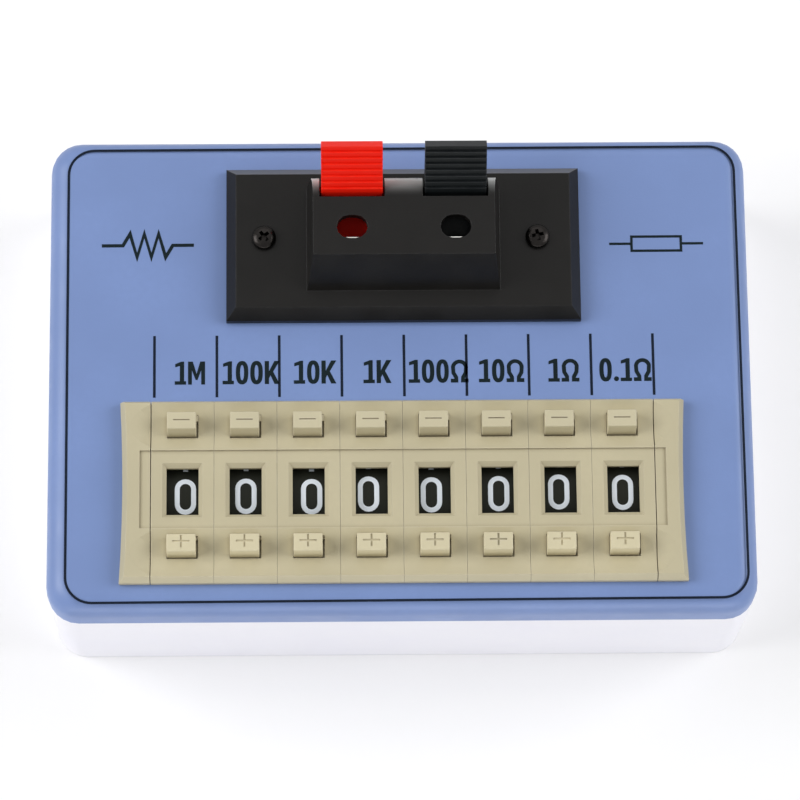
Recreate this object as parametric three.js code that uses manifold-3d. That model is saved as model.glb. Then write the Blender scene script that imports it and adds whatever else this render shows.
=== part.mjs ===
// Resistance box: a two-part plastic case with a bank of eight decade pushwheel switches
// and a two-way push terminal. Millimetres, +X right, +Y back, +Z up, origin at the centre
// of the underside.
import * as THREE from 'three';
import { mergeVertices } from 'three/addons/utils/BufferGeometryUtils.js';
import Module from 'manifold-3d';

const wasm = await Module();
wasm.setup();

// Case: its length, depth and height follow from what it holds and these margins
const sideMargin = 11.95;
const frontMargin = 4.5;
const middleMargin = 13;
const backMargin = 5.9;
const caseCornerRadius = 5;
const caseWall = 2;
const floorThickness = 2;
const boardClearance = 3;
const lidHeight = 7.5;
const lidTopThickness = 2;
const lidEdgeRadius = 3.5;
const lipThickness = 0.85;
const lipHeight = 1.5;
const lipGap = 0.15;

// Screws that hold the lid, driven from below through deep counterbores
const lidScrewInset = 6.5;
const lidScrewShankRadius = 1.3;
const lidScrewHeadRadius = 2.3;
const lidScrewHeadHeight = 1.6;
const lidScrewLength = 14;
const counterboreDepth = 10;
const counterboreGap = 0.4;
const bossWall = 1.3;
const bossSeatHeight = 8;
const screwHoleGap = 0.12;
const screwTipGap = 1;

// Switch bank
const bankCentreX = 0.2;
const moduleCount = 8;
const modulePitch = 10;
const moduleGap = 0.04;
const bankFitGap = 0.25;
const bezelDepth = 30;
const bezelRise = 2.3;
const bezelEdgeRun = 0.8;
const bezelEdgeDrop = 1.2;
const bezelBackTrim = 0.5;
const bezelLedge = 1.2;
const scoopInner = 6.6;
const scoopSink = 1.2;
const bandDepth = 12.7;
const bandSink = 0.35;
const windowWidth = 5.1;
const windowDepth = 7.6;
const windowY = -0.2;
const windowRimY = -0.1;
const windowBevelRun = 0.65;
const windowBevelDrop = 0.6;
const frameWall = 0.9;
const frameWeb = 1;
const bezelUnderside = 0.6;
const endPlateFlare = 0.45;
const endPlateWidth = 4.45;
const endPlateWall = 1.8;
const endPlateBand = 1.7;
const endPlateGap = 0.12;
const endPlateDipRun = 3.6;
const endPlateDipStep = 0.15;
const catchReach = 1;
const catchHeight = 2;
const catchWidth = 8;
const catchGap = 0.1;

// Digit wheels and the stub axles that carry them
const wheelRadius = 11.2;
const wheelWidth = 5.6;
const wheelRimThickness = 1.4;
const wheelWebThickness = 1.75;
const wheelHubRadius = 3.2;
const wheelSideGap = 0.25;
const wheelFrameGap = 2.1;
const axleRadius = 2;
const axleGap = 0.15;
const digitCount = 10;
const ratchetRadius = 7;
const ratchetToothDepth = 1;
const ratchetThickness = 1.05;

// Push buttons
const buttonWidth = 4.6;
const buttonShiftX = -0.12;
const buttonRise = 4;
const buttonSlotGap = 0.15;
const buttonSlotSideGap = 0.18;
const minusNear = 8.7;
const minusFar = 12.2;
const minusSlopeRun = 0.8;
const plusNear = 7.7;
const plusFar = 10.93;
const plusSlopeRun = 0.4;
const plusRound = 0.45;
const buttonSkirtRise = 0.9;
const flangeThickness = 0.9;
const flangeReach = 0.5;
const flangeGap = 0.3;
const legThickness = 1;
const legDepth = 2.2;
const legLength = 8.6;
const legGap = 0.35;
const pawlHeight = 1;
const pawlGap = 0.4;

// Circuit boards and tie rods
const contactBoardThickness = 0.8;
const contactBoardRodGap = 0.3;
const contactBoardTail = 1.9;
const contactBoardTopGap = 2;
const resistorBoardThickness = 1.6;
const resistorBoardOverhang = 1;
const resistorBoardFrontInset = 1.75;
const resistorBoardBackReach = 3.65;
const resistorRadius = 1.1;
const resistorLength = 6.4;
const resistorRowOffset = 7;
const resistorEmbed = 0.25;
const postRadius = 1.8;
const postInsetX = 2.2;
const postInsetY = 3.5;
const tieRodRadius = 1;
const tieRodGap = 0.15;
const tieRodInset = 2.1;
const tieRodHeadRadius = 1.6;
const tieRodHeadHeight = 0.9;

// Push terminal
const terminalX = 0.6;
const plateLength = 57;
const plateDepth = 25.6;
const plateThickness = 3.6;
const plateBevelRun = 1.6;
const plateBevelDrop = 2.4;
const blockTopHeight = 12;
const blockTopLength = 29;
const blockBaseLength = 31;
const blockFrontBase = 8.5;
const blockFrontTop = 5;
const blockBackTop = 4.9;
const blockBackRound = 3.8;
const socketLength = 29;
const socketFront = 7.4;
const socketBack = 8.2;
const socketDrop = 12.5;
const socketFloor = 1.2;
const socketFitGap = 0.3;
const wireHolePitch = 16.5;
const wireHoleLength = 4.95;
const wireHoleWidth = 3.85;
const wireHoleY = -0.42;
const chamberFront = 3.7;
const chamberBack = 7.2;
const chamberRoof = 1.5;
const leverWidth = 9.8;
const leverSideGap = 0.3;
const leverSlotFront = 4.6;
const leverSlotFloor = 2.3;
const pivotY = 6.5;
const pivotHeight = 8.3;
const pivotHubRadius = 2;
const pivotPinRadius = 0.9;
const pivotPinReach = 0.8;
const pivotPinGap = 0.25;
const leverTopY = 10.8;
const leverTopHeight = 18.2;
const leverRootY = 4.9;
const leverRootHeight = 12;
const leverThickness = 2.1;
const leverTipTaper = 0.15;
const ribCount = 8;
const ribDepth = 0.4;
const armTipY = -1.05;
const armTipHeight = 6;
const armTipThickness = 1.6;
const armTipSlant = 1;
const armRootHeight = 0.9;
const armRootDrop = 1.7;
const contactThickness = 0.4;
const contactWidth = 3.4;
const contactFrontY = -2;
const contactTopGap = 0.3;
const contactBackY = 4.9;
const contactLeafY = 3.4;
const contactLeafGap = 1.1;
const lugWidth = 2.4;
const lugDrop = 4.2;
const lugGap = 0.3;

// Screws of the terminal plate
const plateScrewInset = 6.5;
const plateScrewShiftX = -0.4;
const plateScrewShiftY = 0.35;
const plateScrewShankRadius = 1;
const plateScrewHeadRadius = 1.95;
const plateScrewHeadHeight = 1.35;
const plateScrewLength = 10;
const plateBossWall = 1.7;

// Hook-up wires
const wireRadius = 0.7;
const wireEndGap = 0.3;
const wireStraight = 3;
const wirePadInsetX = 2.5;
const wirePadInsetY = 1.6;
const wireRunHeight = 10.5;
const wireSweepX = 25;
const wireSweepReach = 17.2;

// Facets
const cornerSteps = 3;
const edgeSteps = 4;
const scoopSteps = 6;
const wheelSteps = 20;
const roundSteps = 16;
const pinSteps = 12;
const resistorSides = 6;
const wireArcSteps = 4;
const wireSteps = 14;
const flareSteps = 6;
const roundedEndSteps = 4;
const toothRiseShare = 0.8;
const recessWidthShare = 0.22;
const recessReachShare = 0.62;
const recessDepthShare = 0.65;
const headCrownShare = 0.55;

// One overrun serves every cut
const overrun = 1;

// Places that follow from the sizes above
const resistorBoardBottom = floorThickness + boardClearance;
const resistorBoardTop = resistorBoardBottom + resistorBoardThickness;
const frameBottom = resistorBoardTop + contactBoardTail;
const wheelCentreZ = frameBottom + wheelFrameGap + wheelRadius;
const lidTop = wheelCentreZ + wheelRadius;
const baseHeight = lidTop - lidHeight;
const lidUnderside = lidTop - lidTopThickness;
const moduleHalf = (modulePitch - moduleGap) / 2;
const bankHalf = (moduleCount * modulePitch) / 2;
const endPlateInnerX = bankHalf + endPlateGap - moduleGap / 2;
const endPlateWallX = endPlateInnerX + endPlateWall;
const caseLength = 2 * (endPlateInnerX + endPlateWidth + sideMargin);
const resistorBoardLength = 2 * (bankHalf + resistorBoardOverhang);
const caseDepth = frontMargin + bezelDepth + middleMargin + plateDepth + backMargin;
const bezelHalfDepth = bezelDepth / 2;
const bezelBack = bezelHalfDepth - bezelBackTrim;
const scoopOuter = bezelHalfDepth - bezelEdgeRun;
const bankCentreY = frontMargin + bezelHalfDepth - caseDepth / 2;
const terminalY = caseDepth / 2 - backMargin - plateDepth / 2;
const plateScrewPitch = plateLength - 2 * plateScrewInset;
const plateScrewX = terminalX + plateScrewShiftX;
const plateScrewY = terminalY + plateScrewShiftY;
const bezelTop = lidTop + bezelRise;
const bodyHalfDepth = bezelHalfDepth - bezelLedge;
const resistorBoardDepth = 2 * bodyHalfDepth - resistorBoardFrontInset + resistorBoardBackReach;
const resistorBoardY = bankCentreY + (resistorBoardFrontInset + resistorBoardBackReach) / 2;
const frameCavityTop = lidTop + bezelUnderside;
const wheelLowX = -wheelWidth / 2;
const wheelHighX = wheelWidth / 2;
const hubLowX = -moduleHalf + frameWeb + contactBoardThickness + wheelSideGap;
const hubHighX = moduleHalf - wheelSideGap;
const tieRodOffset = bodyHalfDepth - tieRodInset;
const tieRodZ = frameBottom + tieRodInset;
const contactBoardHalf = tieRodOffset - tieRodRadius - contactBoardRodGap;
const wireSweepY = bankCentreY + bodyHalfDepth + wireSweepReach;
const plateTop = lidTop + plateThickness;
const blockTop = lidTop + blockTopHeight;
const chamberTop = blockTop - chamberRoof;
const socketBottom = lidTop - socketDrop;
const chamberFloor = socketBottom + socketFloor;
const chamberHalf = leverWidth / 2 + leverSideGap;
const lugBottom = socketBottom - lugDrop;
const bossRadius = lidScrewHeadRadius + counterboreGap + bossWall;
const bossX = caseLength / 2 - lidScrewInset;
const bossY = caseDepth / 2 - lidScrewInset;
const bossSplitZ = counterboreDepth + bossSeatHeight;

// Materials
function paint(color, roughness, metalness = 0) {
  return new THREE.MeshStandardMaterial({ color, roughness, metalness });
}

const whitePlastic = () => paint(0xf1f0f6, 0.35);
const bluePlastic = () => paint(0x7793c6, 0.5);
const beigePlastic = () => paint(0xc9c1a6, 0.5);
const buttonPlastic = () => paint(0xdcd3b8, 0.45);
const blackPlastic = () => paint(0x2b2a2b, 0.4);
const redPlastic = () => paint(0xf0301c, 0.35);
const wheelPlastic = () => paint(0x17181a, 0.5);
const springMetal = () => paint(0xcfcfca, 0.25, 1);
const rodMetal = () => paint(0xb9bcc0, 0.3, 1);
const blackScrewMetal = () => paint(0x1c1b1c, 0.35, 0.6);
const boardGreen = () => paint(0x2f6b43, 0.5);
const wireRed = () => paint(0xb3261a, 0.4);
const wireBlack = () => paint(0x1d1d1f, 0.4);

// A three.js geometry as a solid for joining and cutting
function solidOf(geometry) {
  const bare = geometry.clone();
  bare.deleteAttribute('normal');
  bare.deleteAttribute('uv');
  const merged = mergeVertices(bare);
  return new wasm.Manifold(new wasm.Mesh({
    numProp: 3,
    vertProperties: new Float32Array(merged.attributes.position.array),
    triVerts: new Uint32Array(merged.index.array),
  }));
}

// A solid as a three.js geometry
function geometryOf(solid) {
  const mesh = solid.getMesh();
  const geometry = new THREE.BufferGeometry();
  geometry.setAttribute('position', new THREE.BufferAttribute(new Float32Array(mesh.vertProperties), 3));
  geometry.setIndex(new THREE.BufferAttribute(new Uint32Array(mesh.triVerts), 1));
  geometry.computeVertexNormals();
  return geometry;
}

function join(first, ...others) {
  return others.reduce((whole, piece) => whole.add(piece), first);
}

function cut(first, ...others) {
  return others.reduce((whole, piece) => whole.subtract(piece), first);
}

// A box between two corners
function block(low, high) {
  const size = high.map((value, axis) => value - low[axis]);
  const geometry = new THREE.BoxGeometry(...size);
  geometry.translate(...low.map((value, axis) => value + size[axis] / 2));
  return solidOf(geometry);
}

// A straight-sided wedge whose upper rectangle differs from its lower one
function taperedBlock(centreX, centreY, lowSize, highSize, lowZ, highZ, highShiftY = 0) {
  const geometry = new THREE.BoxGeometry(1, 1, 1);
  const places = geometry.attributes.position;
  for (let index = 0; index < places.count; index += 1) {
    const size = places.getZ(index) > 0 ? highSize : lowSize;
    const height = places.getZ(index) > 0 ? highZ : lowZ;
    const x = centreX + places.getX(index) * size[0];
    const shift = places.getZ(index) > 0 ? highShiftY : 0;
    const y = centreY + shift + places.getY(index) * size[1];
    places.setXYZ(index, x, y, height);
  }
  return solidOf(geometry);
}

// A closed outline of [across, up] points
function outline(points) {
  return new THREE.Shape(points.map(([across, up]) => new THREE.Vector2(across, up)));
}

function extruded(shape, depth, curveSegments = cornerSteps) {
  return new THREE.ExtrudeGeometry(shape, { depth, bevelEnabled: false, curveSegments });
}

// An outline in the Y-Z plane, drawn out along X
function alongX(points, lowX, highX) {
  const geometry = extruded(outline(points), highX - lowX);
  const turn = new THREE.Matrix4().makeBasis(
    new THREE.Vector3(0, 1, 0), new THREE.Vector3(0, 0, 1), new THREE.Vector3(1, 0, 0));
  geometry.applyMatrix4(turn);
  geometry.translate(lowX, 0, 0);
  return solidOf(geometry);
}

// An outline in the X-Z plane, drawn out along Y
function alongY(points, lowY, highY) {
  const geometry = extruded(outline(points), highY - lowY);
  geometry.rotateX(Math.PI / 2);
  geometry.translate(0, highY, 0);
  return solidOf(geometry);
}

// A shape in the X-Y plane, drawn up along Z
function alongZ(shape, lowZ, highZ, curveSegments = cornerSteps) {
  const geometry = extruded(shape, highZ - lowZ, curveSegments);
  geometry.translate(0, 0, lowZ);
  return solidOf(geometry);
}

function rodZ(radius, x, y, lowZ, highZ, steps = roundSteps) {
  const geometry = new THREE.CylinderGeometry(radius, radius, highZ - lowZ, steps);
  geometry.rotateX(Math.PI / 2);
  geometry.translate(x, y, (lowZ + highZ) / 2);
  return solidOf(geometry);
}

function rodX(radius, y, z, lowX, highX, steps = pinSteps) {
  const geometry = new THREE.CylinderGeometry(radius, radius, highX - lowX, steps);
  geometry.rotateZ(-Math.PI / 2);
  geometry.translate((lowX + highX) / 2, y, z);
  return solidOf(geometry);
}

function rodY(radius, x, z, lowY, highY, steps = pinSteps) {
  const geometry = new THREE.CylinderGeometry(radius, radius, highY - lowY, steps);
  geometry.translate(x, (lowY + highY) / 2, z);
  return solidOf(geometry);
}

// A rectangle with round corners, centred on the origin
function roundedRectangle(length, depth, radius) {
  const x = length / 2;
  const y = depth / 2;
  const shape = new THREE.Shape();
  shape.absarc(x - radius, y - radius, radius, 0, Math.PI / 2);
  shape.absarc(radius - x, y - radius, radius, Math.PI / 2, Math.PI);
  shape.absarc(radius - x, radius - y, radius, Math.PI, Math.PI * 1.5);
  shape.absarc(x - radius, radius - y, radius, Math.PI * 1.5, Math.PI * 2);
  return shape;
}

// The case outline, drawn in by an inset
function caseSlab(inset, lowZ, highZ) {
  const radius = caseCornerRadius - inset;
  return alongZ(roundedRectangle(caseLength - 2 * inset, caseDepth - 2 * inset, radius), lowZ, highZ);
}

// A switch module's middle, counted from the left
function moduleX(index) {
  return bankCentreX + (index - (moduleCount - 1) / 2) * modulePitch;
}

function cornerPlaces() {
  return [[-bossX, -bossY], [bossX, -bossY], [bossX, bossY], [-bossX, bossY]];
}

// A turned profile of [radius, height] points, standing on Z at a place
function turned(profile, x, y, z, steps = pinSteps) {
  const points = profile.map(([radius, height]) => new THREE.Vector2(radius, height));
  const geometry = new THREE.LatheGeometry(points, steps);
  geometry.rotateX(Math.PI / 2);
  geometry.translate(x, y, z);
  return solidOf(geometry);
}

// A cross-head screw whose head's seat is at height zero and whose shank hangs down
function crossHeadScrew(headRadius, headHeight, shankRadius, length) {
  const crownHeight = headHeight * headCrownShare;
  const body = turned([
    [0, -length],
    [shankRadius / 2, -length],
    [shankRadius, -length + shankRadius],
    [shankRadius, 0],
    [headRadius, 0],
    [headRadius, headHeight - crownHeight],
    [headRadius * Math.cos(Math.PI / 6), headHeight - crownHeight / 2],
    [headRadius / 2, headHeight],
    [0, headHeight],
  ], 0, 0, 0);
  const halfSlot = (headRadius * recessWidthShare) / 2;
  const reach = headRadius * recessReachShare;
  const low = headHeight * (1 - recessDepthShare);
  const high = headHeight + overrun;
  return cut(
    body,
    block([-reach, -halfSlot, low], [reach, halfSlot, high]),
    block([-halfSlot, -reach, low], [halfSlot, reach, high]));
}

function lowerHousing() {
  const shell = cut(caseSlab(0, 0, baseHeight), caseSlab(caseWall, floorThickness, baseHeight + overrun));
  const lip = cut(
    caseSlab(caseWall - lipThickness, baseHeight - overrun, baseHeight + lipHeight),
    caseSlab(caseWall, baseHeight - 2 * overrun, baseHeight + lipHeight + overrun));
  let housing = join(shell, lip);
  for (const [x, y] of cornerPlaces()) {
    housing = join(housing, rodZ(bossRadius, x, y, floorThickness / 2, bossSplitZ));
  }
  for (const [x, y] of cornerPlaces()) {
    const shankHole = rodZ(lidScrewShankRadius + screwHoleGap, x, y, 0, bossSplitZ + overrun, pinSteps);
    const well = rodZ(lidScrewHeadRadius + counterboreGap, x, y, -overrun, counterboreDepth);
    housing = cut(housing, shankHole, well);
  }
  const postX = resistorBoardLength / 2 - postInsetX;
  const postY = resistorBoardDepth / 2 - postInsetY;
  for (const side of [-1, 1]) {
    for (const end of [-1, 1]) {
      const x = bankCentreX + side * postX;
      const y = resistorBoardY + end * postY;
      const post = rodZ(postRadius, x, y, floorThickness / 2, resistorBoardBottom, pinSteps);
      housing = join(housing, post);
    }
  }
  return housing;
}

// The lid's outer form: the case outline with a rounded top edge
function lidForm() {
  const geometry = new THREE.ExtrudeGeometry(roundedRectangle(caseLength, caseDepth, caseCornerRadius), {
    depth: lidHeight,
    bevelEnabled: true,
    bevelThickness: lidEdgeRadius,
    bevelSize: lidEdgeRadius,
    bevelOffset: -lidEdgeRadius,
    bevelSegments: edgeSteps,
    curveSegments: cornerSteps,
  });
  geometry.translate(0, 0, lidTop - lidHeight - lidEdgeRadius);
  const below = block(
    [-caseLength, -caseDepth, -lidTop],
    [caseLength, caseDepth, baseHeight]);
  return cut(solidOf(geometry), below);
}

function upperLid() {
  let lid = cut(
    lidForm(),
    caseSlab(caseWall, baseHeight - overrun, lidUnderside),
    caseSlab(caseWall - lipThickness - lipGap, baseHeight - overrun, baseHeight + lipHeight + 2 * lipGap));
  for (const [x, y] of cornerPlaces()) {
    lid = join(lid, rodZ(bossRadius, x, y, bossSplitZ, lidUnderside + lidTopThickness / 2));
  }
  for (const [x, y] of cornerPlaces()) {
    const holeTop = counterboreDepth + lidScrewLength + screwTipGap;
    lid = cut(lid, rodZ(lidScrewShankRadius + screwHoleGap, x, y, bossSplitZ - overrun, holeTop, pinSteps));
  }
  for (const side of [-1, 1]) {
    const x = plateScrewX + (side * plateScrewPitch) / 2;
    const tip = plateTop - plateScrewLength;
    const boss = rodZ(plateScrewShankRadius + plateBossWall, x, plateScrewY, tip - screwTipGap - plateBossWall,
      lidUnderside + lidTopThickness / 2);
    const hole = rodZ(plateScrewShankRadius + screwHoleGap, x, plateScrewY, tip - screwTipGap, lidTop + overrun,
      pinSteps);
    lid = cut(join(lid, boss), hole);
  }
  const bankX = endPlateWallX + bankFitGap;
  const bankY = bodyHalfDepth + bankFitGap;
  const bankOpening = block(
    [bankCentreX - bankX, bankCentreY - bankY, lidUnderside - overrun],
    [bankCentreX + bankX, bankCentreY + bankY, lidTop + overrun]);
  const socketX = socketLength / 2 + socketFitGap;
  const socketOpening = block(
    [terminalX - socketX, terminalY - socketFront - socketFitGap, lidUnderside - overrun],
    [terminalX + socketX, terminalY + socketBack + socketFitGap, lidTop + overrun]);
  return cut(lid, bankOpening, socketOpening);
}

// The dip that a row of buttons stands in, from its outer to its inner edge
function scoopPoints(outer, inner, top) {
  const half = Math.abs(outer - inner) / 2;
  const radius = (half * half + scoopSink * scoopSink) / (2 * scoopSink);
  const middle = (outer + inner) / 2;
  const sweep = Math.asin(half / radius);
  const points = [];
  for (let step = 0; step <= scoopSteps; step += 1) {
    const angle = sweep * (1 - (2 * step) / scoopSteps) * Math.sign(outer - inner);
    points.push([middle + radius * Math.sin(angle), top + radius - scoopSink - radius * Math.cos(angle)]);
  }
  return points;
}

// The section of the bezel from front to back, in places measured from the bank's centre
function bezelSection() {
  const front = -bezelHalfDepth;
  const band = bandDepth / 2;
  const backEdgeDrop = bezelEdgeDrop * (1 - bezelBackTrim / bezelEdgeRun);
  return [
    [front, lidTop],
    [bezelBack, lidTop],
    [bezelBack, bezelTop - backEdgeDrop],
    ...scoopPoints(scoopOuter, scoopInner, bezelTop),
    [band, bezelTop],
    [band, bezelTop - bandSink],
    [-band, bezelTop - bandSink],
    [-band, bezelTop],
    ...scoopPoints(-scoopInner, -scoopOuter, bezelTop),
    [front, bezelTop - bezelEdgeDrop],
  ];
}

// One switch frame, in its own place: X from the module's centre, Y from the bank's centre
function switchFrame() {
  const bezel = alongX(bezelSection(), -moduleHalf, moduleHalf);
  const body = block(
    [-moduleHalf, -bodyHalfDepth, frameBottom],
    [moduleHalf, bodyHalfDepth, lidTop + bezelUnderside]);
  const inner = bodyHalfDepth - frameWall;
  const cavity = block(
    [-moduleHalf + frameWeb, -inner, frameBottom - overrun],
    [moduleHalf + overrun, inner, frameCavityTop]);
  const bandZ = bezelTop - bandSink;
  const window = block(
    [-windowWidth / 2, windowY - windowDepth / 2, frameCavityTop - overrun],
    [windowWidth / 2, windowY + windowDepth / 2, bezelTop]);
  const slope = overrun / windowBevelDrop;
  const rimGrow = 2 * windowBevelRun * (1 + slope);
  const rim = taperedBlock(0, windowY,
    [windowWidth, windowDepth], [windowWidth + rimGrow, windowDepth + rimGrow],
    bandZ - windowBevelDrop, bandZ + overrun, (windowRimY - windowY) * (1 + slope));
  const slotHalf = buttonWidth / 2 + buttonSlotSideGap;
  const slotLow = frameCavityTop - overrun;
  const minusSlot = block(
    [-slotHalf, minusNear - buttonSlotGap, slotLow],
    [slotHalf, minusFar + buttonSlotGap, bezelTop + overrun]);
  const plusSlot = block(
    [-slotHalf, -plusFar - buttonSlotGap, slotLow],
    [slotHalf, -plusNear + buttonSlotGap, bezelTop + overrun]);
  let frame = cut(join(bezel, body), cavity, window, rim, minusSlot, plusSlot);
  frame = join(frame, rodX(axleRadius, 0, wheelCentreZ, -moduleHalf + frameWeb / 2, hubHighX - wheelSideGap));
  for (const side of [-1, 1]) {
    frame = cut(frame, rodX(tieRodRadius + tieRodGap, side * tieRodOffset, tieRodZ,
      -moduleHalf - overrun, -moduleHalf + frameWeb + overrun));
  }
  return frame;
}

// The ratchet ring on the wheel's side: one tooth for each digit
function ratchetShape() {
  const points = [];
  for (let tooth = 0; tooth < digitCount; tooth += 1) {
    const start = (tooth / digitCount) * Math.PI * 2;
    const end = ((tooth + toothRiseShare) / digitCount) * Math.PI * 2;
    points.push([ratchetRadius * Math.cos(start), ratchetRadius * Math.sin(start)]);
    const root = ratchetRadius - ratchetToothDepth;
    points.push([root * Math.cos(end), root * Math.sin(end)]);
  }
  return points;
}

// A digit wheel around its own axle's centre line
function digitWheel() {
  const recessFloor = wheelHighX - wheelWebThickness;
  const rimInner = wheelRadius - wheelRimThickness;
  const profile = [
    [axleRadius + axleGap, hubLowX],
    [wheelHubRadius, hubLowX],
    [wheelHubRadius, recessFloor],
    [rimInner, recessFloor],
    [rimInner, wheelLowX],
    [wheelRadius, wheelLowX],
    [wheelRadius, wheelHighX],
    [wheelHubRadius, wheelHighX],
    [wheelHubRadius, hubHighX],
    [axleRadius + axleGap, hubHighX],
    [axleRadius + axleGap, hubLowX],
  ];
  const points = profile.map(([radius, place]) => new THREE.Vector2(radius, place));
  const geometry = new THREE.LatheGeometry(points, wheelSteps);
  geometry.rotateZ(-Math.PI / 2);
  const ring = alongX(ratchetShape(), wheelHighX - overrun / 2, wheelHighX + ratchetThickness);
  const bore = rodX(wheelHubRadius, 0, 0, recessFloor, hubHighX + overrun);
  return join(solidOf(geometry), cut(ring, bore));
}

// The parts that the two kinds of button share: the cap's section, the flange and the leg.
// near and far are the cap's inner and outer edges from the bank's centre.
function pushButton(section, near, far, side) {
  const cap = alongX(section, buttonShiftX - buttonWidth / 2, buttonShiftX + buttonWidth / 2);
  const flangeTop = frameCavityTop - flangeGap;
  const flangeLow = flangeTop - flangeThickness;
  const legHigh = moduleHalf - legGap;
  const legLow = legHigh - legThickness;
  const between = (first, second) => [Math.min(first, second), Math.max(first, second)];
  const [flangeFront, flangeBack] = between(side * near, side * (far + flangeReach));
  const flange = block(
    [buttonShiftX - buttonWidth / 2 - flangeReach, flangeFront, flangeLow],
    [legHigh, flangeBack, flangeTop]);
  const legMiddle = (near + far) / 2 + legDepth / 2;
  const [legFront, legBack] = between(side * (legMiddle - legDepth), side * legMiddle);
  const legBottom = flangeLow - legLength;
  const leg = block([legLow, legFront, legBottom], [legHigh, legBack, flangeTop]);
  const pawlTip = ratchetRadius + pawlGap;
  const [pawlFront, pawlBack] = between(side * pawlTip, side * (legMiddle - legDepth / 2));
  const pawl = block([legLow, pawlFront, legBottom], [legHigh, pawlBack, legBottom + pawlHeight]);
  return join(cap, flange, leg, pawl);
}

function minusButton() {
  const low = frameCavityTop - flangeGap - flangeThickness;
  const top = lidTop + buttonRise;
  const section = [
    [minusNear, low],
    [minusFar, low],
    [minusFar, top],
    [minusNear + minusSlopeRun, top],
    [minusNear, lidTop + buttonSkirtRise],
  ];
  return pushButton(section, minusNear, minusFar, 1);
}

function plusButton() {
  const low = frameCavityTop - flangeGap - flangeThickness;
  const top = lidTop + buttonRise;
  const edge = plusFar - plusSlopeRun;
  const rounded = [];
  for (let step = 0; step <= roundedEndSteps; step += 1) {
    const angle = (Math.PI / 2) * (step / roundedEndSteps);
    rounded.push([
      -(edge - plusRound + plusRound * Math.sin(angle)),
      top - plusRound + plusRound * Math.cos(angle),
    ]);
  }
  const section = [
    [-plusFar, low],
    [-plusNear, low],
    [-plusNear, top],
    ...rounded,
    [-plusFar, lidTop + buttonSkirtRise],
  ];
  return pushButton(section, plusNear, plusFar, -1);
}

function contactBoard() {
  const lowX = -moduleHalf + frameWeb;
  const highX = lowX + contactBoardThickness;
  const board = block(
    [lowX, -contactBoardHalf, resistorBoardTop],
    [highX, contactBoardHalf, lidTop - contactBoardTopGap]);
  return cut(board, rodX(axleRadius + axleGap, 0, wheelCentreZ, lowX - overrun, highX + overrun));
}

// Where a row's dip runs out into an end plate, ever shallower away from the bank
function endPlateDip(outer, inner) {
  const top = bezelTop + endPlateDipStep;
  const section = [[outer, top + overrun], ...scoopPoints(outer, inner, top), [inner, top + overrun]];
  const rise = THREE.MathUtils.radToDeg(Math.atan(scoopSink / endPlateDipRun));
  return alongX(section, -overrun, endPlateWidth)
    .translate([0, 0, -bezelTop])
    .rotate([0, -rise, 0])
    .translate([endPlateInnerX, 0, bezelTop]);
}

// One end plate of the bank, for the right-hand side
function endPlate() {
  const outerCorner = endPlateInnerX + endPlateWidth + endPlateFlare;
  const shape = new THREE.Shape();
  const innerX = endPlateInnerX - 2 * bezelEdgeRun;
  shape.moveTo(innerX, -bezelHalfDepth);
  shape.lineTo(outerCorner, -bezelHalfDepth);
  shape.quadraticCurveTo(outerCorner - 2 * endPlateFlare, 0, outerCorner, bezelHalfDepth);
  shape.lineTo(innerX, bezelHalfDepth);
  const geometry = new THREE.ExtrudeGeometry(shape, {
    depth: bezelRise,
    bevelEnabled: true,
    bevelThickness: bezelEdgeDrop,
    bevelSize: bezelEdgeRun,
    bevelOffset: -bezelEdgeRun,
    bevelSegments: 1,
    curveSegments: flareSteps,
  });
  geometry.translate(0, 0, bezelTop - bezelRise - bezelEdgeDrop);
  const below = block([0, -bezelDepth, 0], [caseLength, bezelDepth, lidTop]);
  const inside = block([0, -bezelDepth, 0], [endPlateInnerX, bezelDepth, bezelTop + overrun]);
  const band = block(
    [0, -bandDepth / 2, bezelTop - bandSink],
    [endPlateInnerX + endPlateBand, bandDepth / 2, bezelTop + overrun]);
  const behind = block([0, bezelBack, 0], [caseLength, bezelDepth, bezelTop + overrun]);
  const dips = [endPlateDip(scoopOuter, scoopInner), endPlateDip(-scoopInner, -scoopOuter)];
  const flange = cut(solidOf(geometry), below, inside, band, behind, ...dips);
  const wall = block(
    [endPlateInnerX, -bodyHalfDepth, frameBottom],
    [endPlateWallX, bodyHalfDepth, lidTop + bezelUnderside]);
  const catchTop = lidUnderside - catchGap;
  const wedge = alongY([
    [endPlateWallX - endPlateWall / 2, catchTop - catchHeight],
    [endPlateWallX, catchTop - catchHeight],
    [endPlateWallX + catchReach, catchTop],
    [endPlateWallX - endPlateWall / 2, catchTop],
  ], -catchWidth / 2, catchWidth / 2);
  let plate = join(flange, wall, wedge);
  for (const side of [-1, 1]) {
    plate = cut(plate, rodX(tieRodRadius + tieRodGap, side * tieRodOffset, tieRodZ,
      endPlateInnerX - overrun, endPlateWallX + overrun, pinSteps));
  }
  return plate;
}

// A rod through the whole bank, closed over at both ends
function tieRod() {
  const head = endPlateWallX + tieRodHeadHeight;
  return join(
    rodX(tieRodRadius, 0, 0, -head, head, pinSteps),
    rodX(tieRodHeadRadius, 0, 0, -head, -endPlateWallX, pinSteps),
    rodX(tieRodHeadRadius, 0, 0, endPlateWallX, head, pinSteps));
}

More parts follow.
